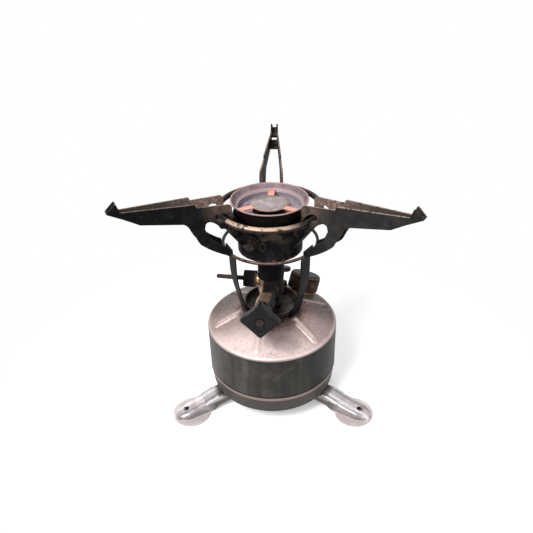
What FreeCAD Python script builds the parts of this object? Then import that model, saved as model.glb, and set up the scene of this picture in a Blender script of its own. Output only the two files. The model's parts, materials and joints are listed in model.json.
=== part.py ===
import FreeCAD, Part
import math
import os
import Sketcher

# Compact liquid-fuel pressure stove.  Millimetres, +Z up.  The origin is where the
# tank's axis meets the surface the stove stands on; +Y points to the back leg.

DRIVING = {
    # tank
    "tank_radius": 54.0,
    "tank_wall": 0.9,
    "tank_top_edge": 70.65,
    "cone_angle": 24.2,
    "shoulder_round": 3.0,
    "crown_rise": 12.75,
    "groove_height": 30.8,
    "lap_step": 1.05,
    "lap_length": 3.4,
    "bead_proud": 0.1,
    "base_step": 1.4,
    "base_height": 13.8,
    "base_round": 2.6,
    "rib_radius": 5.0,
    "rib_rise": 1.4,
    "rib_lead": 1.0,
    "rib_outer_gap": 6.5,
    "rib_count": 5,
    "rib_pitch": 60.0,
    "rib_turn": 136.3,
    "spud_radius": 6.9,
    "spud_flange": 8.6,
    "pickup_radius": 2.4,
    "pickup_bore": 1.5,
    "filter_radius": 4.6,
    # clearances
    "slip": 0.05,
    "solder_gap": 0.05,
    "running": 0.1,
    "seat_gap": 0.2,
    # legs
    "leg_pivot_inset": 11.0,
    "leg_stud_radius": 2.5,
    "leg_stud_head": 4.5,
    "leg_half_width": 8.0,
    "leg_sheet": 1.1,
    "leg_edge_round": 2.2,
    "leg_tail": 8.5,
    "leg_heel": 2.0,
    "leg_knee": 3.0,
    "leg_reach": 39.5,
    "leg_nose": 11.0,
    "leg_nose_taper": 5.6,
    "foot_reach": 25.15,
    "foot_radius": 16.0,
    "foot_hole": 2.3,
    "foot_hole_reach": 30.0,
    # burner frame
    "frame_turn": -3.4,
    "back_turn": 92.0,
    "strap_width": 12.5,
    "strap_sheet": 1.0,
    "cup_rim_radius": 22.0,
    "cup_flare": 1.4,
    "cup_depth": 5.0,
    "cup_sheet": 0.8,
    "lower_ring_radius": 36.4,
    "lower_ring_wire": 1.2,
    "lower_ring_rise": 63.0,
    "upper_ring_radius": 38.2,
    "upper_ring_wire": 2.2,
    "ring_spacing": 27.9,
    # burner
    "tube_radius": 10.5,
    "tube_wall": 1.0,
    "tube_foot_rise": 8.5,
    "tube_collar": 2.0,
    "air_hole_radius": 3.4,
    "air_hole_rise": 9.0,
    "housing_sheet": 1.0,
    "housing_sink": 6.0,
    "housing_height": 29.6,
    "housing_flare": 3.0,
    "flare_height": 11.5,
    "spider_sink": 0.4,
    "vent_radius": 4.6,
    "ear_half_width": 6.4,
    "ear_rise": 3.6,
    "ear_drop": 11.9,
    "ear_root_drop": 8.5,
    "bowl_rim_radius": 29.34,
    "bowl_rim_rise": 7.2,
    "bowl_lip": 4.44,
    "bowl_depth": 18.5,
    "cap_radius": 13.8,
    "cap_drop": 5.1,
    "cap_sheet": 1.0,
    "tab_width": 5.0,
    "plate_drop": 10.5,
    "plate_sheet": 0.8,
    "plate_hole_count": 12,
    "plate_hole_radius": 1.0,
    "screw_turn": 245.0,
    "screw_radius": 1.5,
    "washer_radius": 3.6,
    # pot supports
    "arm_sheet": 1.2,
    "arm_swing": 5.762,
    "arm_overlap": 4.8,
    "arm_half_gap": 8.8,
    "arm_taper": 0.081,
    "arm_slot": 2.75,
    "slot_past": 0.5,
    "arm_corner": 3.0,
    "arm_reach": 79.3,
    # valve
    "valve_turn": -8.5,
    "valve_rise": 22.1,
    "cleaner_rise": 3.5,
    "stem_root_radius": 4.4,
    "block_radius": 10.2,
    "boss_radius": 7.5,
    "boss_end": 12.5,
    "neck_thread": 4.0,
    "neck_hex": 6.2,
    "gland_hex": 7.6,
    "gland_length": 9.5,
    "cleaner_neck_radius": 4.8,
    "cleaner_neck_end": 16.5,
    "stem_radius": 2.2,
    "knob_gap": 2.5,
    "knob_hub_length": 10.0,
    "knob_thickness": 7.5,
    "knob_corner": 15.2,
    "knob_hub_radius": 7.0,
    "cleaner_rod_radius": 1.25,
    "cleaner_handle": 27.0,
    "channel_radius": 1.4,
    "jet_hex": 3.8,
    "jet_height": 4.0,
    # filler
    "filler_turn": 51.0,
    "filler_inset": 13.0,
    "neck_radius": 9.8,
    "neck_wall": 1.2,
    "neck_rise": 11.0,
    "filler_cap_wall": 3.5,
    "filler_cap_foot": 2.2,
    "filler_cap_roof": 4.0,
    "gasket_thickness": 1.5,
    # pump
    "filler_to_pump": 21.2,
    "pump_gap": 11.1,
    "barrel_radius": 7.2,
    "barrel_wall": 0.8,
    "barrel_length": 46.0,
    "end_cap_wall": 1.0,
    "end_cap_height": 6.0,
    "pump_rod_radius": 2.0,
    "pump_knob_radius": 10.8,
    "pump_knob_foot": 12.0,
    "pump_knob_height": 6.6,
}

AZIMUTHS = {"left": 210.0, "right": 330.0, "back": 90.0}

doc = FreeCAD.newDocument("stove")
sheet = doc.addObject("Spreadsheet::Sheet", "Sizes")
for row, (name, number) in enumerate(DRIVING.items(), start=1):
    sheet.set("A%d" % row, name)
    sheet.set("B%d" % row, str(number))
    sheet.setAlias("B%d" % row, name)
doc.recompute()

PIECES = {}


class Size:
    """A length that carries both its number and the spreadsheet formula behind it."""

    def __init__(self, value, formula):
        self.value = float(value)
        self.formula = formula

    @staticmethod
    def of(item):
        return item if isinstance(item, Size) else Size(item, "(%.6f)" % float(item))

    def joined(self, other, sign, value):
        return Size(value, "(%s %s %s)" % (self.formula, sign, other.formula))

    def __add__(self, other):
        other = Size.of(other)
        return self.joined(other, "+", self.value + other.value)

    def __sub__(self, other):
        other = Size.of(other)
        return self.joined(other, "-", self.value - other.value)

    def __mul__(self, other):
        other = Size.of(other)
        return self.joined(other, "*", self.value * other.value)

    def __truediv__(self, other):
        other = Size.of(other)
        return self.joined(other, "/", self.value / other.value)

    def __radd__(self, other):
        return Size.of(other) + self

    def __rsub__(self, other):
        return Size.of(other) - self

    def __rmul__(self, other):
        return Size.of(other) * self

    def __rtruediv__(self, other):
        return Size.of(other) / self

    def __neg__(self):
        return Size.of(0.0) - self


class Sheet:
    """Gives each spreadsheet alias as a Size."""

    def __getattr__(self, name):
        return Size(float(sheet.get(name)), "Sizes." + name)


S = Sheet()


def angled(function, word, angle):
    angle = Size.of(angle)
    return Size(function(math.radians(angle.value)), "%s(%s * 1 deg)" % (word, angle.formula))


def sine(angle):
    return angled(math.sin, "sin", angle)


def cosine(angle):
    return angled(math.cos, "cos", angle)


def tangent(angle):
    return angled(math.tan, "tan", angle)


def root(item):
    return Size(math.sqrt(item.value), "sqrt(%s)" % item.formula)


def angle_between(near, far, apart):
    """The angle, in degrees, between two arms whose ends are a given distance apart."""
    share = (near * near + far * far - apart * apart) / (near * far * 2.0)
    return Size(math.degrees(math.acos(share.value)), "(acos(%s) / 1 deg)" % share.formula)


def bind(thing, prop, size):
    thing.setExpression(prop, Size.of(size).formula)


def place(thing, x=0.0, y=0.0, z=0.0, turn=0.0, lean=0.0, roll=0.0):
    """Rolls a piece about X, leans it about Y, turns it about Z, then moves it."""
    words = [Size.of(item).formula for item in (x, y, z, turn, lean, roll)]
    thing.setExpression(
        "Placement",
        "placement(vector(%s; %s; %s); rotationz(%s) * rotationy(%s) * rotationx(%s))" % tuple(words),
    )
    return thing


def arc_between(start, end, radius):
    """The short arc from start to end; a negative radius curves it clockwise."""
    run = end - start
    middle = (start + end) * 0.5
    side = FreeCAD.Vector(-run.y, run.x, 0).normalize()
    rise = math.sqrt(max(radius * radius - run.Length ** 2 / 4, 0.0))
    centre = middle + side * (rise if radius > 0 else -rise)
    first, last = (start, end) if radius > 0 else (end, start)
    spread = (math.atan2(point.y - centre.y, point.x - centre.x) for point in (first, last))
    circle = Part.Circle(centre, FreeCAD.Vector(0, 0, 1), abs(radius))
    return Part.ArcOfCircle(circle, *spread)


def draw(sketch, outline):
    """Draws a closed outline of (x, y) or (x, y, arc radius) corners, all tied to the sheet."""
    corners = [(Size.of(c[0]), Size.of(c[1]), Size.of(c[2]) if len(c) > 2 else None) for c in outline]
    count = len(corners)
    for index, (x, y, radius) in enumerate(corners):
        after = corners[(index + 1) % count]
        start = FreeCAD.Vector(x.value, y.value, 0)
        end = FreeCAD.Vector(after[0].value, after[1].value, 0)
        if radius is None:
            sketch.addGeometry(Part.LineSegment(start, end), False)
        else:
            sketch.addGeometry(arc_between(start, end, radius.value), False)
    entry = [2 if c[2] is not None and c[2].value < 0 else 1 for c in corners]
    for index, (x, y, radius) in enumerate(corners):
        leaving = 3 - entry[index]
        following = (index + 1) % count
        sketch.addConstraint(
            Sketcher.Constraint("Coincident", index, leaving, following, entry[following])
        )
        for kind, axis, size in (("DistanceX", -2, x), ("DistanceY", -1, y)):
            if size.value == 0:
                sketch.addConstraint(Sketcher.Constraint("PointOnObject", index, entry[index], axis))
                continue
            number = sketch.addConstraint(
                Sketcher.Constraint(kind, -1, 1, index, entry[index], size.value)
            )
            bind(sketch, "Constraints[%d]" % number, size)
        if radius is not None:
            number = sketch.addConstraint(Sketcher.Constraint("Radius", index, abs(radius.value)))
            bind(sketch, "Constraints[%d]" % number, radius if radius.value > 0 else -radius)


def keep(label, thing):
    """Marks a finished piece; its label names its file."""
    thing.Label = label
    PIECES[label] = thing
    return thing


def turned(name, outline):
    """A body of revolution about Z from an outline of (radius, height) corners."""
    body = doc.addObject("PartDesign::Body", name + "_turned")
    sketch = body.newObject("Sketcher::SketchObject", name + "_outline")
    plane = [item for item in body.Origin.OriginFeatures if item.Role == "XZ_Plane"][0]
    sketch.AttachmentSupport = [(plane, "")]
    sketch.MapMode = "FlatFace"
    draw(sketch, outline)
    revolution = body.newObject("PartDesign::Revolution", name + "_revolution")
    revolution.Profile = sketch
    revolution.ReferenceAxis = (sketch, ["V_Axis"])
    revolution.Angle = 360
    body.Tip = revolution
    return body


def extruded(name, outline, length, plane="XZ"):
    """A slab of an outline, centred on its plane: XZ (side view) or XY (plan, upwards)."""
    sketch = doc.addObject("Sketcher::SketchObject", name + "_outline")
    if plane == "XZ":
        sketch.Placement = FreeCAD.Placement(FreeCAD.Vector(), FreeCAD.Rotation(0, 0, 90))
    draw(sketch, outline)
    slab = doc.addObject("Part::Extrusion", name + "_slab")
    slab.Base = sketch
    slab.DirMode = "Normal"
    slab.Solid = True
    slab.Symmetric = plane == "XZ"
    bind(slab, "LengthFwd", length)
    return slab


def cylinder(name, radius, length, **where):
    rod = doc.addObject("Part::Cylinder", name)
    bind(rod, "Radius", radius)
    bind(rod, "Height", length)
    return place(rod, **where)


def hexagon(name, corner_radius, length, **where):
    prism = doc.addObject("Part::Prism", name)
    prism.Polygon = 6
    bind(prism, "Circumradius", corner_radius)
    bind(prism, "Height", length)
    return place(prism, **where)


def box(name, length, width, height, **where):
    block = doc.addObject("Part::Box", name)
    bind(block, "Length", length)
    bind(block, "Width", width)
    bind(block, "Height", height)
    return place(block, **where)


def joined(name, parts, kind="Part::MultiFuse"):
    whole = doc.addObject(kind, name)
    whole.Shapes = parts
    return whole


def less(name, base, tools):
    """The base with every tool cut out of it."""
    cut = doc.addObject("Part::Cut", name)
    cut.Base = base
    cut.Tool = tools[0] if len(tools) == 1 else joined(name + "_tools", tools)
    return cut


def tube_outline(inner, outer, low, high):
    return [(inner, low), (outer, low), (outer, high), (inner, high)]


def polar(reach, azimuth):
    return reach * cosine(azimuth), reach * sine(azimuth)


# ---------------------------------------------------------------- shared places

SLOPE = tangent(S.cone_angle)
CONE_DROP = S.tank_wall / cosine(S.cone_angle)
CROWN = S.tank_top_edge + S.crown_rise
CROWN_RADIUS = S.tank_radius - S.crown_rise / SLOPE
LAP_RADIUS = S.tank_radius - S.lap_step
LAP_END = S.groove_height - S.lap_length
STRAP_TOP = CROWN + S.strap_sheet
CUP_FLOOR_TOP = STRAP_TOP + S.cup_sheet
CUP_FLOOR_RADIUS = S.cup_rim_radius - S.cup_flare
CUP_RIM = CUP_FLOOR_TOP + S.cup_depth
LEG_CROWN = S.base_height - S.seat_gap
LEG_PIVOT = S.tank_radius - S.leg_pivot_inset
LOWER_RING = CROWN + S.lower_ring_rise
UPPER_RING = LOWER_RING + S.ring_spacing
BOWL_RIM = UPPER_RING + S.bowl_rim_rise
BOWL_SEAT = BOWL_RIM - S.bowl_depth
BOWL_LEDGE_RADIUS = S.bowl_rim_radius - S.bowl_lip
CAP_LEDGE = BOWL_RIM - S.cap_drop
PLATE_SEAT = BOWL_RIM - S.plate_drop
PLATE_RADIUS = BOWL_LEDGE_RADIUS - 1.3
HOUSING_FOOT = LOWER_RING - S.housing_sink
HOUSING_TOP = HOUSING_FOOT + S.housing_height
HOUSING_RADIUS = BOWL_LEDGE_RADIUS + 0.1
SPIDER = LOWER_RING - S.spider_sink
ARM_SIDE = S.arm_half_gap - S.arm_taper * 3.5
RING_IN_ARM = root(S.upper_ring_radius * S.upper_ring_radius - ARM_SIDE * ARM_SIDE)
ARM_AXIS = RING_IN_ARM + S.arm_swing
ARM_INNER = S.upper_ring_radius - S.arm_overlap
ARM_TIP = S.upper_ring_radius + S.arm_reach
VALVE_HEIGHT = CROWN + S.valve_rise
CLEANER_HEIGHT = VALVE_HEIGHT + S.cleaner_rise
TUBE_FOOT = VALVE_HEIGHT + S.tube_foot_rise
GLAND_START = S.boss_end + 11.0
KNOB_HUB_START = GLAND_START + S.gland_length + S.knob_gap
KNOB_BACK = KNOB_HUB_START + S.knob_hub_length
KNOB_FACE = KNOB_BACK + S.knob_thickness
STEM_END = KNOB_BACK + 3.5
FILLER_REACH = S.tank_radius - S.filler_inset
FILLER_CEILING = S.neck_rise + S.gasket_thickness
PUMP_REACH = S.cup_rim_radius + S.pump_gap
PUMP_TURN = S.filler_turn + angle_between(PUMP_REACH, FILLER_REACH, S.filler_to_pump)
PUMP_KNOB_TOP = S.pump_knob_foot + S.pump_knob_height
STATIONS = {"left": AZIMUTHS["left"], "right": AZIMUTHS["right"], "back": S.back_turn}


def on_cone(reach, azimuth):
    """A place on the tank's conical top, leaning square to it."""
    x, y = polar(reach, azimuth)
    height = S.tank_top_edge + (S.tank_radius - reach) * SLOPE
    return dict(x=x, y=y, z=height, turn=azimuth, lean=S.cone_angle)


FILLER = on_cone(FILLER_REACH, S.filler_turn)
PUMP = on_cone(PUMP_REACH, PUMP_TURN)
FRONT = dict(z=VALVE_HEIGHT, turn=S.valve_turn, roll=90.0)
LEFT = dict(z=CLEANER_HEIGHT, turn=S.valve_turn, lean=-90.0)


# ---------------------------------------------------------------- tank

def tank_top_shell():
    run = S.shoulder_round * tangent((90.0 - S.cone_angle) / 2.0)
    shoulder_r = S.tank_radius - run * cosine(S.cone_angle)
    shoulder_z = S.tank_top_edge + run * sine(S.cone_angle)
    groove_top = S.groove_height + 1.0
    outer = turned("tank_outer", [
        (0, LAP_END),
        (LAP_RADIUS, LAP_END),
        (LAP_RADIUS, S.groove_height),
        (S.tank_radius, groove_top),
        (S.tank_radius, S.tank_top_edge - run, S.shoulder_round),
        (shoulder_r, shoulder_z),
        (CROWN_RADIUS, CROWN),
        (0, CROWN),
    ])
    inner_r = S.tank_radius - S.tank_wall
    inner = turned("tank_inner", [
        (0, LAP_END - 1.0),
        (LAP_RADIUS - S.tank_wall, LAP_END - 1.0),
        (LAP_RADIUS - S.tank_wall, S.groove_height + 0.5),
        (inner_r, groove_top + 0.5),
        (inner_r, S.tank_top_edge - run),
        (shoulder_r - 0.3, shoulder_z - CONE_DROP),
        (CROWN_RADIUS, CROWN - CONE_DROP),
        (0, CROWN - CONE_DROP),
    ])
    sunk = S.rib_radius - S.rib_rise
    rib_outer = S.tank_radius - S.rib_outer_gap
    rib_inner = CROWN_RADIUS - S.rib_lead
    low_r = rib_outer - sunk * sine(S.cone_angle)
    low_z = S.tank_top_edge + S.rib_outer_gap * SLOPE - sunk * cosine(S.cone_angle)
    length = (rib_outer - rib_inner) / cosine(S.cone_angle)
    ribs = []
    for index in range(int(S.rib_count.value)):
        turn = S.rib_turn + S.rib_pitch * float(index)
        x, y = polar(low_r, turn)
        ribs.append(cylinder("rib_%d" % index, S.rib_radius, length,
                             x=x, y=y, z=low_z, turn=turn, lean=S.cone_angle - 90.0))
        ball = doc.addObject("Part::Sphere", "rib_end_%d" % index)
        bind(ball, "Radius", S.rib_radius)
        ribs.append(place(ball, x=x, y=y, z=low_z))
    stamped = joined("tank_stamped", [outer] + ribs)
    holes = [
        inner,
        cylinder("spud_hole", S.spud_radius + S.solder_gap, 20.0, z=CROWN - 10.0),
        cylinder("neck_hole", S.neck_radius + S.solder_gap, 30.0, **FILLER),
        cylinder("barrel_hole", S.barrel_radius + S.solder_gap, 30.0, **PUMP),
    ]
    for hole, spot in zip(holes[2:], (FILLER, PUMP)):
        shifted = dict(spot)
        shifted["x"] = spot["x"] - 15.0 * sine(S.cone_angle) * cosine(spot["turn"])
        shifted["y"] = spot["y"] - 15.0 * sine(S.cone_angle) * sine(spot["turn"])
        shifted["z"] = spot["z"] - 15.0 * cosine(S.cone_angle)
        place(hole, **shifted)
    keep("tank_top_shell", less("tank_top_cut", stamped, holes))


def tank_base_shell():
    lap = LAP_RADIUS + S.solder_gap
    outer = S.tank_radius - S.base_step
    bead = S.tank_radius + S.bead_proud
    inner = outer - S.tank_wall
    keep("tank_base_shell", turned("tank_base", [
        (0, S.base_height),
        (outer - S.base_round, S.base_height, S.base_round),
        (outer, S.base_height + S.base_round),
        (lap + S.tank_wall, LAP_END),
        (bead, LAP_END + 1.0),
        (bead, S.groove_height - 0.8, 0.8),
        (bead - 0.7, S.groove_height - 0.2),
        (lap, S.groove_height - 0.2),
        (lap, LAP_END - 0.2),
        (inner, S.base_height + S.base_round),
        (outer - S.base_round, S.base_height + S.tank_wall),
        (0, S.base_height + S.tank_wall),
    ]))


def burner_spud():
    """The threaded bush in the tank's crown that carries valve body and pickup tube."""
    bore = S.stem_root_radius + S.slip
    keep("burner_spud", turned("spud", [
        (bore, CROWN - 6.0),
        (S.spud_radius, CROWN - 6.0),
        (S.spud_radius, CROWN),
        (S.spud_flange, CROWN),
        (S.spud_flange, STRAP_TOP),
        (bore, STRAP_TOP),
    ]))
    keep("pickup_tube", turned("pickup", [
        (S.pickup_bore, S.base_height + 3.0),
        (S.pickup_radius, S.base_height + 3.0),
        (S.pickup_radius, CROWN - 8.0),
        (S.stem_root_radius, CROWN - 8.0),
        (S.stem_root_radius, CROWN - 5.2),
        (S.pickup_bore, CROWN - 5.2),
    ]))
    keep("fuel_filter", turned("filter", tube_outline(
        S.pickup_radius + S.slip, S.filter_radius,
        S.base_height + S.tank_wall + S.seat_gap, S.base_height + 12.0)))


# ---------------------------------------------------------------- legs

def leg(name, azimuth):
    """A pressed channel on a round foot, swinging about an upright stud."""
    crown, sheet_t = LEG_CROWN, S.leg_sheet
    tail, heel = LEG_PIVOT - S.leg_tail, LEG_PIVOT + S.leg_heel
    knee, end = S.tank_radius + S.leg_knee, S.tank_radius + S.leg_reach
    foot_centre, hole_centre = S.tank_radius + S.foot_reach, S.tank_radius + S.foot_hole_reach
    side = [
        (tail, crown - sheet_t),
        (heel, crown - sheet_t),
        (heel, 6.0),
        (knee, 4.2),
        (knee + 6.2, 0),
        (end, 0),
        (end, 3.4),
        (end - 3.0, 5.8),
        (hole_centre, 7.4),
        (knee + 11.0, 9.9),
        (knee + 9.8, 10.9),
        (knee, crown),
        (tail, crown),
    ]
    nose, taper = end - S.leg_nose, S.leg_nose_taper
    nose_arc = (S.leg_nose * S.leg_nose + taper * taper) / (taper * 2.0)
    flank_y, nose_y = S.leg_half_width, S.leg_half_width - taper
    corners = [
        [(nose, flank_y, -nose_arc), (end, nose_y), (end + 1.0, nose_y),
         (end + 1.0, flank_y + 1.0), (nose, flank_y + 1.0)],
        [(nose, -flank_y, nose_arc), (end, -nose_y), (end + 1.0, -nose_y),
         (end + 1.0, -flank_y - 1.0), (nose, -flank_y - 1.0)],
    ]
    nose_hollow = [
        (nose, -1.0),
        (end - 2.6, -1.0),
        (end - 2.6, 4.4),
        (end - 3.4, 4.7),
        (hole_centre - 0.2, 7.4 - sheet_t),
        (nose, 7.2),
    ]
    hollow = [
        (tail - 1.0, -1.0),
        (nose + 1.0, -1.0),
        (nose + 1.0, 6.7),
        (knee + 10.6, 9.9 - sheet_t),
        (knee + 9.4, 10.9 - sheet_t),
        (knee - 0.2, crown - sheet_t),
        (tail - 1.0, crown - sheet_t),
    ]
    body = doc.addObject("PartDesign::Body", "leg_%s_body" % name)
    planes = {item.Role: item for item in body.Origin.OriginFeatures}

    def sketch_on(role, word, outline=None):
        sketch = body.newObject("Sketcher::SketchObject", "leg_%s_%s" % (name, word))
        sketch.AttachmentSupport = [(planes[role], "")]
        sketch.MapMode = "FlatFace"
        if outline:
            draw(sketch, outline)
        return sketch

    def circle_on(word, centre, radius):
        sketch = sketch_on("XY_Plane", word)
        sketch.addGeometry(Part.Circle(FreeCAD.Vector(centre.value, 0, 0),
                                       FreeCAD.Vector(0, 0, 1), radius.value), False)
        sketch.addConstraint(Sketcher.Constraint("PointOnObject", 0, 3, -1))
        number = sketch.addConstraint(Sketcher.Constraint("DistanceX", -1, 1, 0, 3, centre.value))
        bind(sketch, "Constraints[%d]" % number, centre)
        number = sketch.addConstraint(Sketcher.Constraint("Radius", 0, radius.value))
        bind(sketch, "Constraints[%d]" % number, radius)
        return sketch

    pad = body.newObject("PartDesign::Pad", "leg_%s_channel" % name)
    pad.Profile = sketch_on("XZ_Plane", "side", side)
    pad.Midplane = True
    bind(pad, "Length", S.leg_half_width * 2.0)
    doc.recompute()
    for word, corner in zip(("nose_left", "nose_right"), corners):
        trim = body.newObject("PartDesign::Pocket", "leg_%s_%s_trim" % (name, word))
        trim.Profile = sketch_on("XY_Plane", word, corner)
        trim.Type = "ThroughAll"
        trim.Reversed = True
        body.Tip = trim
        doc.recompute()
    long_edges = []
    for number, edge in enumerate(trim.Shape.Edges, start=1):
        ends = [vertex.Point for vertex in edge.Vertexes]
        flank = all(abs(abs(p.y) - S.leg_half_width.value) < 1e-6 for p in ends)
        upper = all(p.z > 3.0 for p in ends) and abs(ends[0].x - ends[1].x) > 0.5
        under = ends[0].z < crown.value - 0.5 * sheet_t.value
        inside = under and max(ends[0].x, ends[1].x) < knee.value + 3.0
        if flank and upper and ends[0].y * ends[1].y > 0 and not inside:
            long_edges.append("Edge%d" % number)
    fillet = body.newObject("PartDesign::Fillet", "leg_%s_round" % name)
    fillet.Base = (trim, long_edges)
    bind(fillet, "Radius", S.leg_edge_round)
    body.Tip = fillet
    doc.recompute()
    pocket = body.newObject("PartDesign::Pocket", "leg_%s_hollow" % name)
    pocket.Profile = sketch_on("XZ_Plane", "hollow_side", hollow)
    pocket.Midplane = True
    bind(pocket, "Length", (S.leg_half_width - sheet_t) * 2.0)
    body.Tip = pocket
    doc.recompute()
    tip = body.newObject("PartDesign::Pocket", "leg_%s_nose_hollow" % name)
    tip.Profile = sketch_on("XZ_Plane", "nose_side", nose_hollow)
    tip.Midplane = True
    bind(tip, "Length", (S.foot_hole + sheet_t) * 2.0)
    body.Tip = tip
    doc.recompute()
    foot = body.newObject("PartDesign::Pad", "leg_%s_foot" % name)
    foot.Profile = circle_on("foot_disc", foot_centre, S.foot_radius)
    bind(foot, "Length", sheet_t)
    body.Tip = foot
    doc.recompute()
    for word, centre, radius in (("foot_hole", hole_centre, S.foot_hole),
                                 ("stud_hole", LEG_PIVOT, S.leg_stud_radius + S.slip)):
        hole = body.newObject("PartDesign::Pocket", "leg_%s_%s_cut" % (name, word))
        hole.Profile = circle_on(word, centre, radius)
        hole.Type = "ThroughAll"
        hole.Reversed = True
        body.Tip = hole
        doc.recompute()
    place(body, turn=azimuth)
    keep("leg_" + name, body)


def leg_pivots():
    studs = []
    for name, azimuth in AZIMUTHS.items():
        x, y = polar(LEG_PIVOT, azimuth)
        under = LEG_CROWN - S.leg_sheet - S.running
        stud = turned("stud_" + name, [
            (0, under - 2.0),
            (S.leg_stud_head, under - 2.0),
            (S.leg_stud_head, under),
            (S.leg_stud_radius, under),
            (S.leg_stud_radius, S.base_height),
            (0, S.base_height),
        ])
        studs.append(place(stud, x=x, y=y))
    keep("leg_pivots", joined("leg_pivot_studs", studs))


# ---------------------------------------------------------------- filler

def filler():
    """Neck, gasket, cap and safety valve, all on one axis square to the tank's cone."""
    bore = S.neck_radius - S.neck_wall
    neck = turned("neck", [
        (bore, -4.0),
        (S.neck_radius, -4.0),
        (S.neck_radius, S.neck_rise),
        (bore, S.neck_rise),
    ])
    keep("filler_neck", place(neck, **FILLER))
    ceiling = FILLER_CEILING
    gasket = turned("gasket", tube_outline(5.2, S.neck_radius, S.neck_rise, ceiling))
    keep("filler_gasket", place(gasket, **FILLER))
    outer, top = S.neck_radius + S.filler_cap_wall, ceiling + S.filler_cap_roof
    cap = turned("cap", [
        (S.neck_radius + S.slip, S.filler_cap_foot),
        (outer - 0.8, S.filler_cap_foot),
        (outer, S.filler_cap_foot + 0.8),
        (outer, top - 3.4),
        (outer - 0.3, top - 3.1),
        (outer - 0.3, top - 2.2, 2.2),
        (outer - 2.5, top),
        (0, top),
        (0, ceiling),
        (S.neck_radius + S.slip, ceiling),
    ])
    vent = cylinder("vent", 0.8, 3.0, x=0.0, y=1.0 - outer, z=9.0, roll=90.0)
    pierced = less("cap_pierced", cap, [vent])
    keep("filler_cap", place(pierced, **FILLER))
    housing = turned("relief", [
        (3.4, 2.0), (5.0, 2.0), (5.0, ceiling), (0, ceiling),
        (0, ceiling - 1.0), (3.4, ceiling - 1.0),
    ])
    keep("safety_valve", place(housing, **FILLER))
    coil = doc.addObject("Part::Helix", "relief_helix")
    coil.Pitch = 1.6
    bind(coil, "Height", ceiling - 4.6)
    coil.Radius = 2.6
    wire_end = doc.addObject("Sketcher::SketchObject", "relief_wire")
    wire_end.Placement = FreeCAD.Placement(FreeCAD.Vector(), FreeCAD.Rotation(0, 0, 90))
    wire_end.addGeometry(Part.Circle(FreeCAD.Vector(2.6, 0, 0), FreeCAD.Vector(0, 0, 1), 0.4), False)
    spring = doc.addObject("Part::Sweep", "relief_spring")
    spring.Sections = [wire_end]
    spring.Spine = (coil, ["Edge1"])
    spring.Solid = True
    spring.Frenet = True
    lifted = dict(FILLER)
    lifted["x"] = FILLER["x"] + 3.0 * sine(S.cone_angle) * cosine(S.filler_turn)
    lifted["y"] = FILLER["y"] + 3.0 * sine(S.cone_angle) * sine(S.filler_turn)
    lifted["z"] = FILLER["z"] + 3.0 * cosine(S.cone_angle)
    keep("safety_spring", place(spring, **lifted))


# ---------------------------------------------------------------- pump

def pump():
    bore = S.barrel_radius - S.barrel_wall
    foot = -S.barrel_length
    barrel = turned("barrel", [
        (1.2, foot), (S.barrel_radius, foot), (S.barrel_radius, 2.0),
        (bore, 2.0), (bore, foot + 1.0), (1.2, foot + 1.0),
    ])
    keep("pump_barrel", place(barrel, **PUMP))
    valve = turned("check", [
        (0, foot + 1.0), (bore - S.slip, foot + 1.0), (bore - S.slip, foot + 3.0),
        (2.2, foot + 3.0), (2.2, foot + 5.0), (0, foot + 5.0),
    ])
    keep("check_valve", place(valve, **PUMP))
    hole = S.pump_rod_radius + S.running
    outside, height = S.barrel_radius + S.end_cap_wall, S.end_cap_height
    end_cap = turned("end_cap", [
        (S.barrel_radius + S.slip, 0.3), (outside, 0.3),
        (outside, height - 0.8, 0.8), (outside - 0.8, height),
        (hole, height), (hole, 2.0 + S.slip), (S.barrel_radius + S.slip, 2.0 + S.slip),
    ])
    keep("pump_end_cap", place(end_cap, **PUMP))
    rod = turned("pump_rod", [
        (0, foot + 8.0), (S.pump_rod_radius, foot + 8.0),
        (S.pump_rod_radius, PUMP_KNOB_TOP - 2.0), (0, PUMP_KNOB_TOP - 2.0),
    ])
    keep("pump_rod", place(rod, **PUMP))
    leather = turned("leather", [
        (S.pump_rod_radius + 0.02, foot + 8.4), (bore - S.slip - 0.6, foot + 8.4),
        (bore - S.slip, foot + 6.6), (bore - S.slip, foot + 10.0),
        (S.pump_rod_radius + 0.02, foot + 10.0),
    ])
    keep("pump_leather", place(leather, **PUMP))
    knob_r, low, top = S.pump_knob_radius, S.pump_knob_foot, PUMP_KNOB_TOP
    knob = turned("pump_knob", [
        (S.pump_rod_radius + 0.02, low), (4.5, low), (4.5, low + 2.2), (knob_r - 1.0, low + 2.6),
        (knob_r, low + 3.4), (knob_r, top - 1.0, 1.0), (knob_r - 1.0, top),
        (0, top), (0, top - 2.0 + S.slip), (S.pump_rod_radius + 0.02, top - 2.0 + S.slip),
    ])
    keep("pump_knob", place(knob, **PUMP))


# ---------------------------------------------------------------- burner frame

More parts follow.
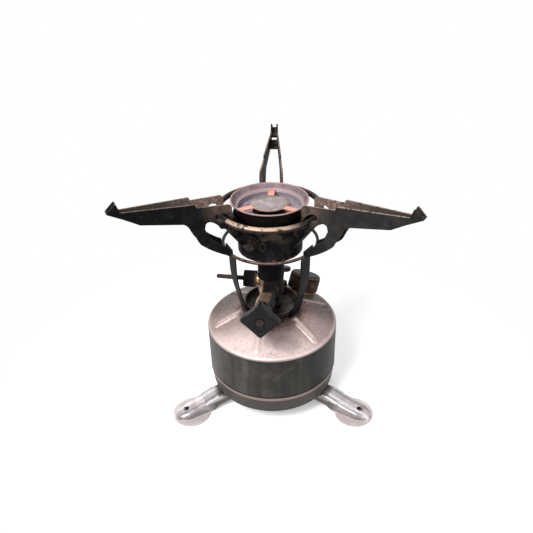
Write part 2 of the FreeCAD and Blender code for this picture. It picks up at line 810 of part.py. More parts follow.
def strip(path, thickness):
    """Outline of a bent strip: path holds (x, z) or (x, z, arc radius) along its middle."""
    steps = []
    for start, end in zip(path, path[1:]):
        run_x = Size.of(end[0]).value - Size.of(start[0]).value
        run_z = Size.of(end[1]).value - Size.of(start[1]).value
        turn = 0.0
        if len(start) > 2:
            turn = math.asin(math.hypot(run_x, run_z) / (2.0 * start[2]))
        heading = math.atan2(run_z, run_x)
        steps.append((heading - turn, heading + turn))
    outer, inner = [], []
    for index, spot in enumerate(path):
        arriving = steps[max(index - 1, 0)][1 if index else 0]
        leaving = steps[min(index, len(steps) - 1)][0 if index < len(steps) else 1]
        heading = (arriving + leaving) / 2.0
        half = thickness / 2.0
        across = half * (1.0 / math.cos((leaving - arriving) / 2.0))
        outer.append((spot[0] + across * math.sin(heading), spot[1] - across * math.cos(heading)))
        inner.append((spot[0] - across * math.sin(heading), spot[1] + across * math.cos(heading)))
    sides = []
    for index, spot in enumerate(path[:-1]):
        sides.append(outer[index] + ((spot[2] + half,) if len(spot) > 2 else ()))
    sides.append(outer[-1])
    for index in range(len(path) - 1, 0, -1):
        before = path[index - 1]
        sides.append(inner[index] + ((half - before[2],) if len(before) > 2 else ()))
    sides.append(inner[0])
    return sides


def strap(name, azimuth):
    """Foot clamped under the preheating cup, bulging side, head welded inside the lower ring."""
    sheet_t, width = S.strap_sheet, S.strap_width
    foot_z = CROWN + sheet_t * 0.5
    inside = S.lower_ring_radius - S.lower_ring_wire - S.slip
    head = root(inside * inside - width * width / 4.0) - sheet_t * 0.5
    bend = CUP_FLOOR_RADIUS
    height = LOWER_RING
    side = extruded("strap_" + name, strip([
        (S.spud_flange + 0.6, foot_z), (bend, foot_z, 3.0), (bend + 2.91, foot_z + 2.27),
        (bend + 8.3, foot_z + 24.1, 110.0), (head - 2.25, height - 12.4),
        (head - 2.2, height - 7.9, -9.1), (head - 1.2, height - 3.9, 11.8),
        (head, height + 0.4), (head, height + 2.6),
    ], sheet_t), width)
    keep("strap_" + name, place(side, turn=S.frame_turn + azimuth))


def preheat_cup():
    floor, rim = CUP_FLOOR_RADIUS, S.cup_rim_radius
    hole = S.stem_root_radius + 0.4
    sheet_t = S.cup_sheet
    keep("preheat_cup", turned("cup", [
        (hole, STRAP_TOP), (floor, STRAP_TOP, 3.0), (floor + 1.0, STRAP_TOP + 2.0),
        (rim, CUP_RIM), (rim - sheet_t, CUP_RIM),
        (floor + 1.0 - sheet_t, STRAP_TOP + 2.4, -2.2),
        (floor - 0.8, CUP_FLOOR_TOP), (hole, CUP_FLOOR_TOP),
    ]))


def rings():
    for label, radius, wire, height in (
        ("lower_ring", S.lower_ring_radius, S.lower_ring_wire, LOWER_RING),
        ("upper_ring", S.upper_ring_radius, S.upper_ring_wire, UPPER_RING),
    ):
        ring = doc.addObject("Part::Torus", label + "_wire")
        bind(ring, "Radius1", radius)
        bind(ring, "Radius2", wire)
        keep(label, place(ring, z=height))


# ---------------------------------------------------------------- burner

def mixing_tube():
    """The upright tube from valve to bowl, with air holes in its back half."""
    outer, inner = S.tube_radius, S.tube_radius - S.tube_wall
    collar, top = outer + S.tube_collar, BOWL_SEAT + 5.0
    tube = turned("tube", [
        (inner, TUBE_FOOT), (outer, TUBE_FOOT),
        (outer, SPIDER - 2.0), (collar, SPIDER - 2.0),
        (collar, SPIDER), (outer, SPIDER),
        (outer, BOWL_SEAT - 1.5), (collar - 0.2, BOWL_SEAT - 1.5),
        (collar - 0.2, BOWL_SEAT), (outer, BOWL_SEAT),
        (outer, top), (inner, top),
    ])
    windows = [
        cylinder("air_%d" % azimuth, S.air_hole_radius, S.tube_radius + 5.0,
                 z=TUBE_FOOT + S.air_hole_rise, turn=azimuth, lean=90.0)
        for azimuth in (30, 90, 150)
    ]
    keep("mixing_tube", place(less("tube_pierced", tube, windows), turn=S.frame_turn))


def burner_housing():
    """The skirt round the burner, with a spider on the mixing tube and ears to the upper ring."""
    outer, sheet_t, top = HOUSING_RADIUS, S.housing_sheet, HOUSING_TOP
    flare, flare_z = outer + S.housing_flare, top - S.flare_height
    skirt = turned("skirt", [
        (outer - sheet_t, HOUSING_FOOT), (outer, HOUSING_FOOT),
        (outer, flare_z), (flare, top - 3.0), (flare, top),
        (flare - sheet_t, top), (flare - sheet_t, top - 2.7), (outer - sheet_t, flare_z + 0.3),
    ])
    spider = turned("spider", tube_outline(
        S.tube_radius + S.running, outer - sheet_t * 0.5, SPIDER, SPIDER + sheet_t))
    ring_inside = S.upper_ring_radius - S.upper_ring_wire
    half, ring_z = S.ear_half_width, UPPER_RING
    reach = root(ring_inside * ring_inside - half * half) - 0.13
    low, root_z = ring_z - S.ear_drop, flare_z - S.ear_root_drop
    ear_top = ring_z + S.ear_rise
    ears = []
    for name, azimuth in STATIONS.items():
        shell = extruded("ear_" + name, [
            (outer - sheet_t * 1.2, root_z), (outer + 0.2, root_z - 0.6), (reach - 0.6, low),
            (reach, low + 0.8), (reach, ear_top), (reach - sheet_t, ear_top),
            (reach - sheet_t, ring_z), (flare - sheet_t, top - 0.3),
            (flare - sheet_t, top - 2.9), (outer - sheet_t * 1.2, flare_z + 0.1),
        ], half * 2.0)
        pocket = extruded("ear_pocket_" + name, [
            (outer + 0.1, root_z + 1.5), (reach - sheet_t, low + 1.4),
            (reach - sheet_t, ear_top), (flare + 0.1, ear_top), (flare + 0.1, top - 3.0),
            (outer + 0.1, flare_z),
        ], (half - sheet_t) * 2.0)
        ears.append(place(less("ear_hollowed_" + name, shell, [pocket]), turn=azimuth))
    whole = joined("skirt_whole", [skirt, spider] + ears)
    middle = (S.tube_radius + outer) / 2.0
    vents = [
        cylinder("vent_%d" % index, S.vent_radius, 6.0, x=middle * cosine(60.0 * index),
                 y=middle * sine(60.0 * index), z=SPIDER - 2.0)
        for index in range(6)
    ]
    screw_hole = cylinder("screw_hole", S.screw_radius + S.slip, outer + 5.0,
                          z=screw_height(), turn=S.screw_turn, lean=90.0)
    keep("burner_housing", place(less("skirt_pierced", whole, vents + [screw_hole]),
                                 turn=S.frame_turn))


def screw_height():
    """The clamp screw's washer ends just under the skirt's flare."""
    return HOUSING_TOP - S.flare_height - S.washer_radius - S.running


def housing_screw():
    """Clamp screw through the skirt, with a bent bar in its head."""
    turn, height, shank_r = S.frame_turn + S.screw_turn, screw_height(), S.screw_radius
    washer = turned("washer", tube_outline(shank_r + S.slip, S.washer_radius, 0.0, 0.8))
    x, y = polar(HOUSING_RADIUS + S.slip, turn)
    keep("housing_washer", place(washer, x=x, y=y, z=height, turn=turn, lean=90.0))
    shank = cylinder("screw_shank", shank_r, 4.0, z=-3.5)
    head = hexagon("screw_head", shank_r + 1.8, 5.5, z=0.85)
    bar = cylinder("screw_bar", shank_r - 0.4, 8.5, x=0.0, y=-4.2, z=6.2, roll=-90.0)
    tip = cylinder("screw_tip", shank_r + 0.5, 1.6, z=6.2)
    neck = cylinder("screw_neck", shank_r, 1.2, z=0.0)
    whole = joined("screw_whole", [shank, neck, head, bar, tip])
    keep("housing_screw", place(whole, x=x, y=y, z=height, turn=turn, lean=90.0))


def burner_bowl():
    """The bowl with its ledge for the cap, and the pierced flame plate inside."""
    seat, rim_r, rim_z = BOWL_SEAT, S.bowl_rim_radius, BOWL_RIM
    hub, ledge, ledge_r = S.tube_radius + S.slip, CAP_LEDGE, BOWL_LEDGE_RADIUS
    plate_r, plate_z = PLATE_RADIUS + S.slip, PLATE_SEAT
    keep("burner_bowl", turned("bowl", [
        (hub, seat), (hub + 2.05, seat), (ledge_r - 2.4, seat + 3.0), (ledge_r - 0.3, plate_z - 0.5),
        (ledge_r + 1.3, ledge - 0.4), (ledge_r + 2.7, ledge + 1.8), (rim_r, rim_z - 0.9),
        (rim_r, rim_z - 0.4, 0.5), (rim_r - 0.6, rim_z), (rim_r - 1.0, rim_z),
        (ledge_r + 0.3, ledge + 0.3), (ledge_r, ledge), (plate_r + 0.4, ledge),
        (plate_r, ledge - 0.5), (plate_r, plate_z), (plate_r - 1.2, plate_z),
        (ledge_r - 3.5, seat + 4.3), (hub + 1.85, seat + 1.3), (hub, seat + 1.3),
    ]))
    flat = turned("plate", tube_outline(
        S.cap_radius - 1.0, PLATE_RADIUS, plate_z, plate_z + S.plate_sheet))
    count = int(S.plate_hole_count.value)
    middle = (S.cap_radius + PLATE_RADIUS) / 2.0
    holes = [
        cylinder("flame_hole_%d" % index, S.plate_hole_radius, 4.0,
                 x=middle * cosine(360.0 / count * index),
                 y=middle * sine(360.0 / count * index), z=plate_z - 1.5)
        for index in range(count)
    ]
    keep("flame_plate", less("plate_pierced", flat, holes))


def burner_cap():
    """A domed disc over the flame plate, on three tabs that rest on the bowl's ledge."""
    ledge, sheet_t = CAP_LEDGE, S.cap_sheet
    tab_end = BOWL_LEDGE_RADIUS - S.seat_gap
    disc = turned("cap_disc", [
        (0, ledge), (S.cap_radius - 0.4, ledge), (S.cap_radius, ledge + 0.3),
        (S.cap_radius, ledge + 0.8), (S.cap_radius - 1.2, ledge + sheet_t + 0.3),
        (0, ledge + sheet_t + 0.6),
    ])
    tabs = []
    for name, azimuth in AZIMUTHS.items():
        tab = extruded("tab_" + name, [
            (S.cap_radius - 2.0, ledge), (tab_end, ledge),
            (tab_end, ledge + sheet_t), (S.cap_radius - 2.0, ledge + sheet_t),
        ], S.tab_width)
        tabs.append(place(tab, turn=azimuth))
    keep("burner_cap", place(joined("cap_whole", [disc] + tabs), turn=S.frame_turn))


# ---------------------------------------------------------------- pot supports

def arm_side():
    """Side view of one support: hooked beam above, curved leg below, open between."""
    ring_outside = S.lower_ring_radius + S.lower_ring_wire
    plate_inside = ARM_SIDE - S.arm_sheet * 0.5
    leg_face = root(ring_outside * ring_outside - plate_inside * plate_inside) + S.running
    low, ring, high = LOWER_RING, S.upper_ring_radius, UPPER_RING
    inner, corner, tip = ARM_INNER, S.arm_corner, ARM_TIP
    top = high + 13.5
    return [
        (leg_face, low - 0.6), (leg_face + 3.6, low + 1.8, 70.0), (ring + 19.6, high - 13.9, 40.0),
        (ring + 22.4, high - 7.9), (ring + 26.0, high - 0.9, -9.0), (ring + 30.3, high + 4.3),
        (tip - 20.1, high + 9.8), (tip - 10.5, high + 15.7), (tip - 0.6, high + 21.1, 0.8),
        (tip, high + 22.3), (tip - 6.0, high + 27.5, 0.8), (tip - 7.0, high + 26.9),
        (tip - 8.4, high + 22.3, -1.4), (tip - 9.8, high + 21.1), (ring + 22.0, high + 17.7),
        (ring + 21.0, high + 17.1), (ring + 20.2, high + 15.1), (inner + corner, top, corner),
        (inner, top - corner), (inner, high + 1.7), (ring - 0.6, high - 5.3),
        (ring + 4.3, high - 4.3, -12.0), (ring + 10.8, high + 2.3, -3.0),
        (ring + 14.8, high + 1.3), (ring + 15.6, high - 2.3), (ring + 12.6, high - 10.1, -60.0),
        (leg_face, low + 6.2),
    ]


def arm_plan(offset):
    """Plan wedge between the outer or inner faces of the two splayed plates."""
    near, far = ARM_INNER - 5.4, ARM_TIP + 7.5
    wide = S.arm_half_gap + offset - S.arm_taper * (near - ARM_INNER)
    slim = S.arm_half_gap + offset - S.arm_taper * (far - ARM_INNER)
    return [(near, -wide), (far, -slim), (far, slim), (near, wide)]


def arm_slot():
    """Curved slot that lets the arm swing up past the ring it hangs on."""
    axis_u, axis_z, half, reach = ARM_AXIS, UPPER_RING, S.arm_slot, S.arm_swing
    far, near, end = reach + half, reach - half, half * 1.02
    past = axis_u + S.slot_past
    return [
        (past, axis_z + far), (axis_u, axis_z + far, far), (axis_u - far, axis_z, end),
        (axis_u - near, axis_z, -near), (axis_u, axis_z + near), (past, axis_z + near, end),
    ]


def pot_support(name, azimuth):
    tip, high, near = ARM_TIP, UPPER_RING, ARM_INNER - 8.4
    floor, roof = LOWER_RING - 11.4, high + 33.7
    height = roof - floor
    beam = extruded("beam_" + name, arm_side(), 40.0)
    wedge = place(extruded("wedge_" + name, arm_plan(S.arm_sheet * 0.5), height, plane="XY"), z=floor)
    gap_side = extruded("gap_side_" + name, [
        (near, floor + 5.0), (tip - 21.4, floor + 5.0), (tip - 21.4, high + 11.0),
        (tip - 20.3, high + 11.2), (tip - 11.0, high + 16.9), (tip - 0.4, high + 23.3),
        (tip + 6.0, high + 26.7), (tip + 6.0, roof), (near, roof),
    ], 40.0)
    gap_plan = place(extruded("gap_plan_" + name, arm_plan(S.arm_sheet * -0.5), height, plane="XY"),
                     z=floor)
    gap = joined("gap_" + name, [gap_side, gap_plan], kind="Part::MultiCommon")
    web_slot = box("web_slot_" + name, 3.5, 4.2, 12.0, x=tip - 13.2, y=-2.1, z=high + 9.7)
    slot = extruded("slot_" + name, arm_slot(), 40.0)
    blank = joined("blank_" + name, [beam, wedge], kind="Part::MultiCommon")
    arm = less("arm_" + name, blank, [gap, web_slot, slot])
    keep("pot_support_" + name, place(arm, turn=S.frame_turn + azimuth))


# ---------------------------------------------------------------- valve

def valve_body():
    """Brass casting: upright stem, mixing block, front boss and left neck."""
    root_r, collar_r, top = S.stem_root_radius, S.spud_flange - 0.4, TUBE_FOOT
    spigot = S.tube_radius - S.tube_wall - S.slip
    collar_top = CUP_FLOOR_TOP + 4.6
    clear = VALVE_HEIGHT - collar_top
    core = turned("core", [
        (0, CROWN - 5.0), (root_r, CROWN - 5.0), (root_r, CUP_FLOOR_TOP),
        (collar_r, CUP_FLOOR_TOP), (collar_r, collar_top - 1.0), (root_r + 2.0, collar_top),
        (root_r + 2.0, collar_top + clear * 0.33), (S.block_radius - 0.8, collar_top + clear * 0.55),
        (S.block_radius, collar_top + clear * 0.62),
        (S.block_radius, top), (spigot, top),
        (spigot, top + 2.4), (S.jet_hex + 0.4, top + 2.4),
        (S.jet_hex - 0.2, top + 5.0), (0, top + 5.0),
    ])
    boss = cylinder("boss", S.boss_radius, S.boss_end, z=VALVE_HEIGHT, roll=90.0)
    neck = cylinder("clean_neck", S.cleaner_neck_radius, S.cleaner_neck_end,
                    z=CLEANER_HEIGHT, lean=-90.0)
    whole = joined("casting", [core, boss, neck])
    tools = [
        cylinder("riser", S.channel_radius, 60.0, z=CROWN - 12.0),
        cylinder("seat", 0.9, 8.0, z=VALVE_HEIGHT, roll=90.0),
        cylinder("stem_bore", S.stem_radius + S.running, 20.0, y=-6.0, z=VALVE_HEIGHT, roll=90.0),
        cylinder("neck_bore", S.neck_thread + S.slip, 20.0, y=-8.2, z=VALVE_HEIGHT, roll=90.0),
        cylinder("rod_bore", S.cleaner_rod_radius + S.running, 40.0, x=2.2,
                 z=CLEANER_HEIGHT, lean=-90.0),
    ]
    keep("valve_body", place(less("casting_bored", whole, tools), turn=S.valve_turn))


def valve_front():
    bore = S.stem_radius + S.running
    start = S.boss_end
    screwed = turned("neck_thread", [
        (bore, 8.2), (S.neck_thread, 8.2), (S.neck_thread, start), (bore, start)])
    nose_r = S.neck_thread + 0.4
    flats = hexagon("neck_flats", S.neck_hex, 9.5, z=start)
    nose = cylinder("neck_nose", nose_r, 6.0, z=start + 9.5)
    solid = joined("neck_solid", [screwed, flats, nose])
    neck = less("neck_bored", solid, [cylinder("neck_hole_long", bore, 40.0, z=0.0)])
    keep("valve_neck", place(neck, **FRONT))
    packing_z = start + 15.5
    packing = turned("packing", tube_outline(bore, nose_r - S.slip, packing_z, packing_z + 2.0))
    keep("valve_packing", place(packing, **FRONT))
    nut = less("gland_bored", hexagon("gland_hex", S.gland_hex, S.gland_length, z=GLAND_START), [
        cylinder("gland_thread", nose_r + S.slip, 6.5, z=GLAND_START),
        cylinder("gland_hole", bore, 20.0, z=GLAND_START)])
    keep("gland_nut", place(nut, **FRONT))
    stem = turned("stem", [
        (0, 5.2), (0.7, 5.8), (S.stem_radius, 8.4), (S.stem_radius, STEM_END),
        (1.45, STEM_END), (1.45, STEM_END - 4.5), (0, STEM_END - 4.5),
    ])
    keep("valve_stem", place(stem, **FRONT))


def control_knob():
    """Four-cornered knob with slightly hollow sides on a round hub."""
    corner, back, face = S.knob_corner, KNOB_BACK, KNOB_FACE
    shift, half = 1.7, 1.6
    inner = corner - shift
    outline = [
        (inner, -half, 2.1), (inner, half, -46.0), (half, inner, 2.1), (-half, inner, -46.0),
        (-inner, half, 2.1), (-inner, -half, -46.0), (-half, -inner, 2.1), (half, -inner, -46.0),
    ]
    head = place(extruded("knob_head", outline, face - back, plane="XY"), z=back)
    trim = turned("knob_trim", [
        (0, back - 1.0), (corner - 2.4, back - 1.0), (corner + 0.6, back + 1.6),
        (corner + 0.6, face - 1.6), (corner - 2.0, face + 0.6), (0, face + 0.6)])
    crisp = joined("knob_crisp", [head, trim], kind="Part::MultiCommon")
    hub = turned("knob_hub", [
        (0, KNOB_HUB_START), (S.knob_hub_radius - 1.0, KNOB_HUB_START),
        (S.knob_hub_radius, KNOB_HUB_START + 1.0), (S.knob_hub_radius + 1.2, back + 1.0),
        (0, back + 1.0)])
    solid = joined("knob_solid", [crisp, hub])
    knob = less("knob_bored", solid, [
        cylinder("knob_bore", S.stem_radius + S.slip, STEM_END + S.running - KNOB_HUB_START,
                 z=KNOB_HUB_START),
        cylinder("knob_through", 1.5, 20.0, z=STEM_END - 1.0),
        cylinder("knob_recess", 3.5, 3.0, z=face - 1.4)])
    keep("control_knob", place(knob, **FRONT))
    shank = cylinder("knob_shank", 1.4, face - STEM_END + 2.6, z=STEM_END - 4.0)
    head_disc = cylinder("knob_screw_disc", 3.2, 1.2, z=face - 1.4)
    screw = less("knob_screw_cut", joined("knob_screw_solid", [shank, head_disc]), [
        box("knob_screw_slot", 8.0, 0.9, 2.0, x=-4.0, y=-0.45, z=face - 0.8)])
    keep("knob_screw", place(screw, **FRONT))


def cleaner():
    """Cleaning needle, its cross shaft, packing and hexagonal gland nut, and the jet above."""
    bore = S.cleaner_rod_radius + S.running
    neck_end = S.cleaner_neck_end
    rod_end = neck_end + S.cleaner_handle
    packing_r = S.cleaner_neck_radius - S.seat_gap
    packing = turned("clean_packing", tube_outline(bore, packing_r, neck_end, neck_end + 1.7))
    keep("cleaner_packing", place(packing, **LEFT))
    nut = less("clean_nut_bored", hexagon("clean_hex", S.gland_hex, 9.7, z=neck_end - 4.3), [
        cylinder("clean_thread", S.cleaner_neck_radius + S.slip, 6.0, z=neck_end - 4.3),
        cylinder("clean_hole", bore, 20.0, z=neck_end - 4.3)])
    keep("cleaner_nut", place(nut, **LEFT))
    rod = turned("clean_rod", [
        (0, -2.0), (S.cleaner_rod_radius, -2.0),
        (S.cleaner_rod_radius, rod_end - 0.6),
        (S.cleaner_rod_radius - 0.5, rod_end), (0, rod_end)])
    keep("cleaner_shaft", place(rod, **LEFT))
    low = CLEANER_HEIGHT + S.cleaner_rod_radius + S.seat_gap
    top = TUBE_FOOT + 5.0
    keep("cleaning_needle", turned("needle", [
        (0, low), (S.channel_radius - S.running, low), (S.channel_radius - S.running, low + 3.4),
        (0.3, low + 4.0), (0.3, top + 3.4), (0, top + 3.6)]))
    shell = less("jet_bored", hexagon("jet_hex", S.jet_hex, S.jet_height, z=top), [
        cylinder("jet_cavity", S.channel_radius, 2.4, z=top - 0.5),
        cylinder("jet_orifice", 0.4, 10.0, z=top - 1.0)])
    keep("jet", place(shell, turn=S.valve_turn))


# ---------------------------------------------------------------- build

def build():
    tank_top_shell()
    tank_base_shell()
    burner_spud()
    for name, azimuth in AZIMUTHS.items():
        leg(name, azimuth)
        strap(name, STATIONS[name])
        pot_support(name, STATIONS[name])
    leg_pivots()
    filler()
    pump()
    preheat_cup()
    rings()
    mixing_tube()
    burner_housing()
    housing_screw()
    burner_bowl()
    burner_cap()
    valve_body()
    valve_front()
    control_knob()
    cleaner()
    doc.recompute()


def export():
    for thing in doc.Objects:
        bad = {"Invalid", "Error"} & set(thing.State)
        if bad:
            raise RuntimeError("%s (%s): %s" % (thing.Name, thing.Label, thing.State))
    os.makedirs("parts", exist_ok=True)
    for label, piece in PIECES.items():
        shape = piece.Shape
        if shape.isNull() or not shape.isValid() or shape.Volume <= 0:
            raise RuntimeError("bad shape: " + label)
        shape.exportStep(os.path.join("parts", label + ".step"))
        print("%-20s solids %d volume %.1f" % (label, len(shape.Solids), shape.Volume))


build()
export()
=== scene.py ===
import json
import logging
import math
from collections.abc import Callable, Mapping
from dataclasses import dataclass, field
from enum import Enum

import bmesh
import bpy
from mathutils import Euler, Matrix, Vector, noise

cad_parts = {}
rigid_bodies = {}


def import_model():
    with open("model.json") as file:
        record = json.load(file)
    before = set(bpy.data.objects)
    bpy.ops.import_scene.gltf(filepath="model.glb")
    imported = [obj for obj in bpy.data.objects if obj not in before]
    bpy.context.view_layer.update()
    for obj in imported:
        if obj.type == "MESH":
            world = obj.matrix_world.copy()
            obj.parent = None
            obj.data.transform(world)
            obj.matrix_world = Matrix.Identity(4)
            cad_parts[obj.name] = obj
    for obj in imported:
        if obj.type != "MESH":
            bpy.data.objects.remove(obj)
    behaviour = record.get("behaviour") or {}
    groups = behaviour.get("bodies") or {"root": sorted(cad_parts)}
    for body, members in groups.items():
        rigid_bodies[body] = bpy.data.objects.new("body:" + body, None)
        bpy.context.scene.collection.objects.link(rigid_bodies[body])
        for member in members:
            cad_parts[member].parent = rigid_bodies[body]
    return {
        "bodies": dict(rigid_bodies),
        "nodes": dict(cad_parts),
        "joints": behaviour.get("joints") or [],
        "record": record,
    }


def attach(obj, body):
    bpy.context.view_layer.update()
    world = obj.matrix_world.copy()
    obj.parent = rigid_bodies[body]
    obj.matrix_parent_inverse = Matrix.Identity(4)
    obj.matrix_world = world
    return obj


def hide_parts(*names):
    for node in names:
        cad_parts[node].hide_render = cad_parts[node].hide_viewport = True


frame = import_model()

LOG = logging.getLogger("stove")
Pair = tuple[float, float]
Triple = tuple[float, float, float]
Colour = Triple
Number = "float | Wire"

MILLIMETRE = 0.001
TOUCHING = 1e-7
WHITE = (1.0, 1.0, 1.0)

# Azimuths and angles in degrees, lengths in millimetres.
SIDES = {"left": 210.0, "right": 330.0, "back": 90.0}
FRAME_TURN = -3.4
VALVE_TURN = -8.5
VALVE_HEIGHT = 105.5
CONE_ANGLE = 24.2
FILLER_TURN = 51.0
FILLER_REACH = 41.0


class Stretch(Enum):
    """Which way a noise pattern is drawn out."""

    EVEN = (1.0, 1.0, 1.0)
    UPRIGHT = (1.0, 1.0, 0.12)
    SIDEWAYS = (0.08, 1.0, 1.0)
    LEVEL = (0.15, 0.15, 1.0)


def operator(operation: str, swapped: bool = False) -> Callable[["Wire", "Number"], "Wire"]:
    """Makes the method behind one arithmetic operator of a wire.

    Args:
        operation: the Math node's operation.
        swapped: whether the wire stands on the operator's right.

    Returns:
        The method.
    """
    def method(self: "Wire", other: "Number") -> "Wire":
        """Joins the two in one Math node."""
        pair = (other, self) if swapped else (self, other)
        return self.paint.maths(operation, *pair)
    return method


@dataclass(frozen=True)
class Wire:
    """A shader socket that Python's arithmetic operators work on.

    Args:
        paint: the builder that adds further nodes.
        socket: the output socket to wrap.
    """

    paint: "Paint"
    socket: bpy.types.NodeSocket

    __add__ = operator("ADD")
    __radd__ = operator("ADD", swapped=True)
    __sub__ = operator("SUBTRACT")
    __rsub__ = operator("SUBTRACT", swapped=True)
    __mul__ = operator("MULTIPLY")
    __rmul__ = operator("MULTIPLY", swapped=True)
    __truediv__ = operator("DIVIDE")
    __pow__ = operator("POWER")
    highest = operator("MAXIMUM")
    lowest = operator("MINIMUM")

    def size(self) -> "Wire":
        """This without its sign."""
        return self.paint.maths("ABSOLUTE", self)

    def rise(self, low: float, high: float) -> "Wire":
        """Climbs smoothly from 0 at low to 1 at high; low above high makes it fall.

        Args:
            low: the value that gives 0.
            high: the value that gives 1.

        Returns:
            The eased mask.
        """
        ends = (low, high, 0.0, 1.0) if low <= high else (high, low, 1.0, 0.0)
        return self.paint.node(
            "ShaderNodeMapRange", {"interpolation_type": "SMOOTHSTEP", "clamp": True},
            dict(enumerate((self, *ends))))

    def band(self, start: float, full: float, fading: float, end: float) -> "Wire":
        """Climbs from 0 at start to 1 at full, and falls from 1 at fading to 0 at end."""
        return self.rise(start, full) * self.rise(end, fading)

    def coats(self, *layers: tuple["Number", object]) -> "Wire":
        """Lays colours over this one.

        Args:
            layers: (mask, colour) pairs, the lowest first.

        Returns:
            The colour that shows in the end.
        """
        result = self
        for mask, colour in layers:
            result = self.paint.mix(mask, result, colour)
        return result


class Paint:
    """Builds one node tree, a material's or the world's."""

    def __init__(self, owner: "str | bpy.types.World") -> None:
        """Starts with an empty tree.

        Args:
            owner: the name of a new material, or the world.
        """
        self.owner = bpy.data.materials.new(owner) if isinstance(owner, str) else owner
        self.owner.use_nodes = True
        self.tree = self.owner.node_tree
        self.tree.nodes.clear()
        self._place: Wire | None = None

    def node(self, kind: str, settings: Mapping[str, object] | None = None,
             sockets: Mapping[int | str, object] | None = None, output: int | str = 0) -> Wire:
        """Adds one node, sets it up and feeds its sockets.

        Args:
            kind: the node's type.
            settings: its own properties.
            sockets: values or wires by input name or number.
            output: the output that the returned wire carries.

        Returns:
            The chosen output.
        """
        made = self.tree.nodes.new(kind)
        for name, value in (settings or {}).items():
            setattr(made, name, value)
        for name, value in (sockets or {}).items():
            entry = made.inputs[name]
            if isinstance(value, Wire):
                self.tree.links.new(value.socket, entry)
            elif entry.type == "RGBA" and len(value) == 3:
                entry.default_value = (*value, 1.0)
            else:
                entry.default_value = value
        return Wire(self, made.outputs[output])

    def maths(self, operation: str, *values: "Number") -> Wire:
        """Adds one Math node, with the values in order."""
        return self.node("ShaderNodeMath", {"operation": operation}, dict(enumerate(values)))

    @property
    def place(self) -> Wire:
        """Object coordinates, in metres."""
        if self._place is None:
            self._place = self.node("ShaderNodeTexCoord", output="Object")
        return self._place

    def axis(self, which: int) -> Wire:
        """One coordinate of the place, in millimetres."""
        parted = self.node("ShaderNodeSeparateXYZ", sockets={0: self.place}, output=which)
        return parted * (1.0 / MILLIMETRE)

    def reach(self) -> Wire:
        """Distance from the upright axis, in millimetres."""
        across, deep = self.axis(0), self.axis(1)
        return (across * across + deep * deep) ** 0.5

    def azimuth(self) -> Wire:
        """Angle round the upright axis, in radians."""
        return self.maths("ARCTAN2", self.axis(1), self.axis(0))

    def wrapped_azimuth(self, start: float, pitch: float) -> Wire:
        """Radians from the nearest spoke, where one is at start and the rest lie a pitch apart."""
        return self.maths("WRAP", self.azimuth() - start, pitch / 2.0, -pitch / 2.0)

    def spoke(self, azimuth: float) -> tuple[Wire, Wire]:
        """Distance along a level spoke and to the left of it, in millimetres.

        Args:
            azimuth: where the spoke points, in degrees.

        Returns:
            Both distances.
        """
        across, deep, turn = self.axis(0), self.axis(1), math.radians(azimuth)
        return (across * math.cos(turn) + deep * math.sin(turn),
                deep * math.cos(turn) - across * math.sin(turn))

    def outward(self) -> Wire:
        """Compares the surface normal with the way out from the upright axis.

        Returns:
            From -1 where the surface faces the axis to 1 where it faces away.
        """
        facing = self.node("ShaderNodeTexCoord", output="Normal")
        flat = self.node("ShaderNodeVectorMath", {"operation": "MULTIPLY"},
                         {0: self.place, 1: (1.0, 1.0, 0.0)})
        spoke = self.node("ShaderNodeVectorMath", {"operation": "NORMALIZE"}, {0: flat})
        return self.node("ShaderNodeVectorMath", {"operation": "DOT_PRODUCT"},
                         {0: facing, 1: spoke}, "Value")

    def across_leg(self) -> Wire:
        """Distance across the nearest leg, in millimetres."""
        turned = self.wrapped_azimuth(math.pi / 2.0, math.tau / 3.0)
        return self.maths("SINE", turned) * self.reach()

    def facing(self, which: int) -> Wire:
        """One component of the surface normal."""
        normal = self.node("ShaderNodeTexCoord", output="Normal")
        return self.node("ShaderNodeSeparateXYZ", sockets={0: normal}, output=which)

    def seen(self) -> Wire:
        """1 for rays from the camera and for mirrored ones, 0 for the rest."""
        return self.node("ShaderNodeLightPath", output="Is Camera Ray").highest(
            self.node("ShaderNodeLightPath", output="Is Glossy Ray"))

    def noise(self, grain: float, detail: float = 5.0, stretch: Stretch = Stretch.EVEN,
              seed: float = 0.0, turn: float = 0.0) -> Wire:
        """Cloudy noise whose blobs are about grain millimetres across.

        Args:
            grain: the size of its blobs, in millimetres.
            detail: how many finer layers it has.
            stretch: which way it is drawn out.
            seed: shifts the pattern.
            turn: turns the pattern about Z, in degrees.

        Returns:
            A value round 0.5.
        """
        moved = self.node("ShaderNodeMapping", {"vector_type": "TEXTURE"}, {
            "Vector": self.place, "Location": (seed * 0.137, seed * 0.071, seed * 0.053),
            "Rotation": (0.0, 0.0, math.radians(turn)),
            "Scale": tuple(1.0 / part for part in stretch.value)})
        return self.node("ShaderNodeTexNoise", None, {
            "Vector": moved, "Scale": 1000.0 / grain, "Detail": detail, "Roughness": 0.6})

    def grains(self, seed: float, *sizes: float) -> list[Wire]:
        """Up to three noises with blobs of these sizes, each with a pattern of its own."""
        return [self.noise(size, detail, seed=seed + number)
                for number, (size, detail) in enumerate(zip(sizes, (5.0, 5.0, 3.0)))]

    def cells(self, grain: float, seed: float = 0.0) -> Wire:
        """Scatters points, for pits and specks.

        Args:
            grain: about how far apart they are, in millimetres.
            seed: shifts them.

        Returns:
            Distance to the nearest, as a share of the grain.
        """
        moved = self.node("ShaderNodeMapping", None, {
            "Vector": self.place, "Location": (seed * 0.11, seed * 0.07, seed * 0.05)})
        return self.node("ShaderNodeTexVoronoi", None,
                         {"Vector": moved, "Scale": 1000.0 / grain}, "Distance")

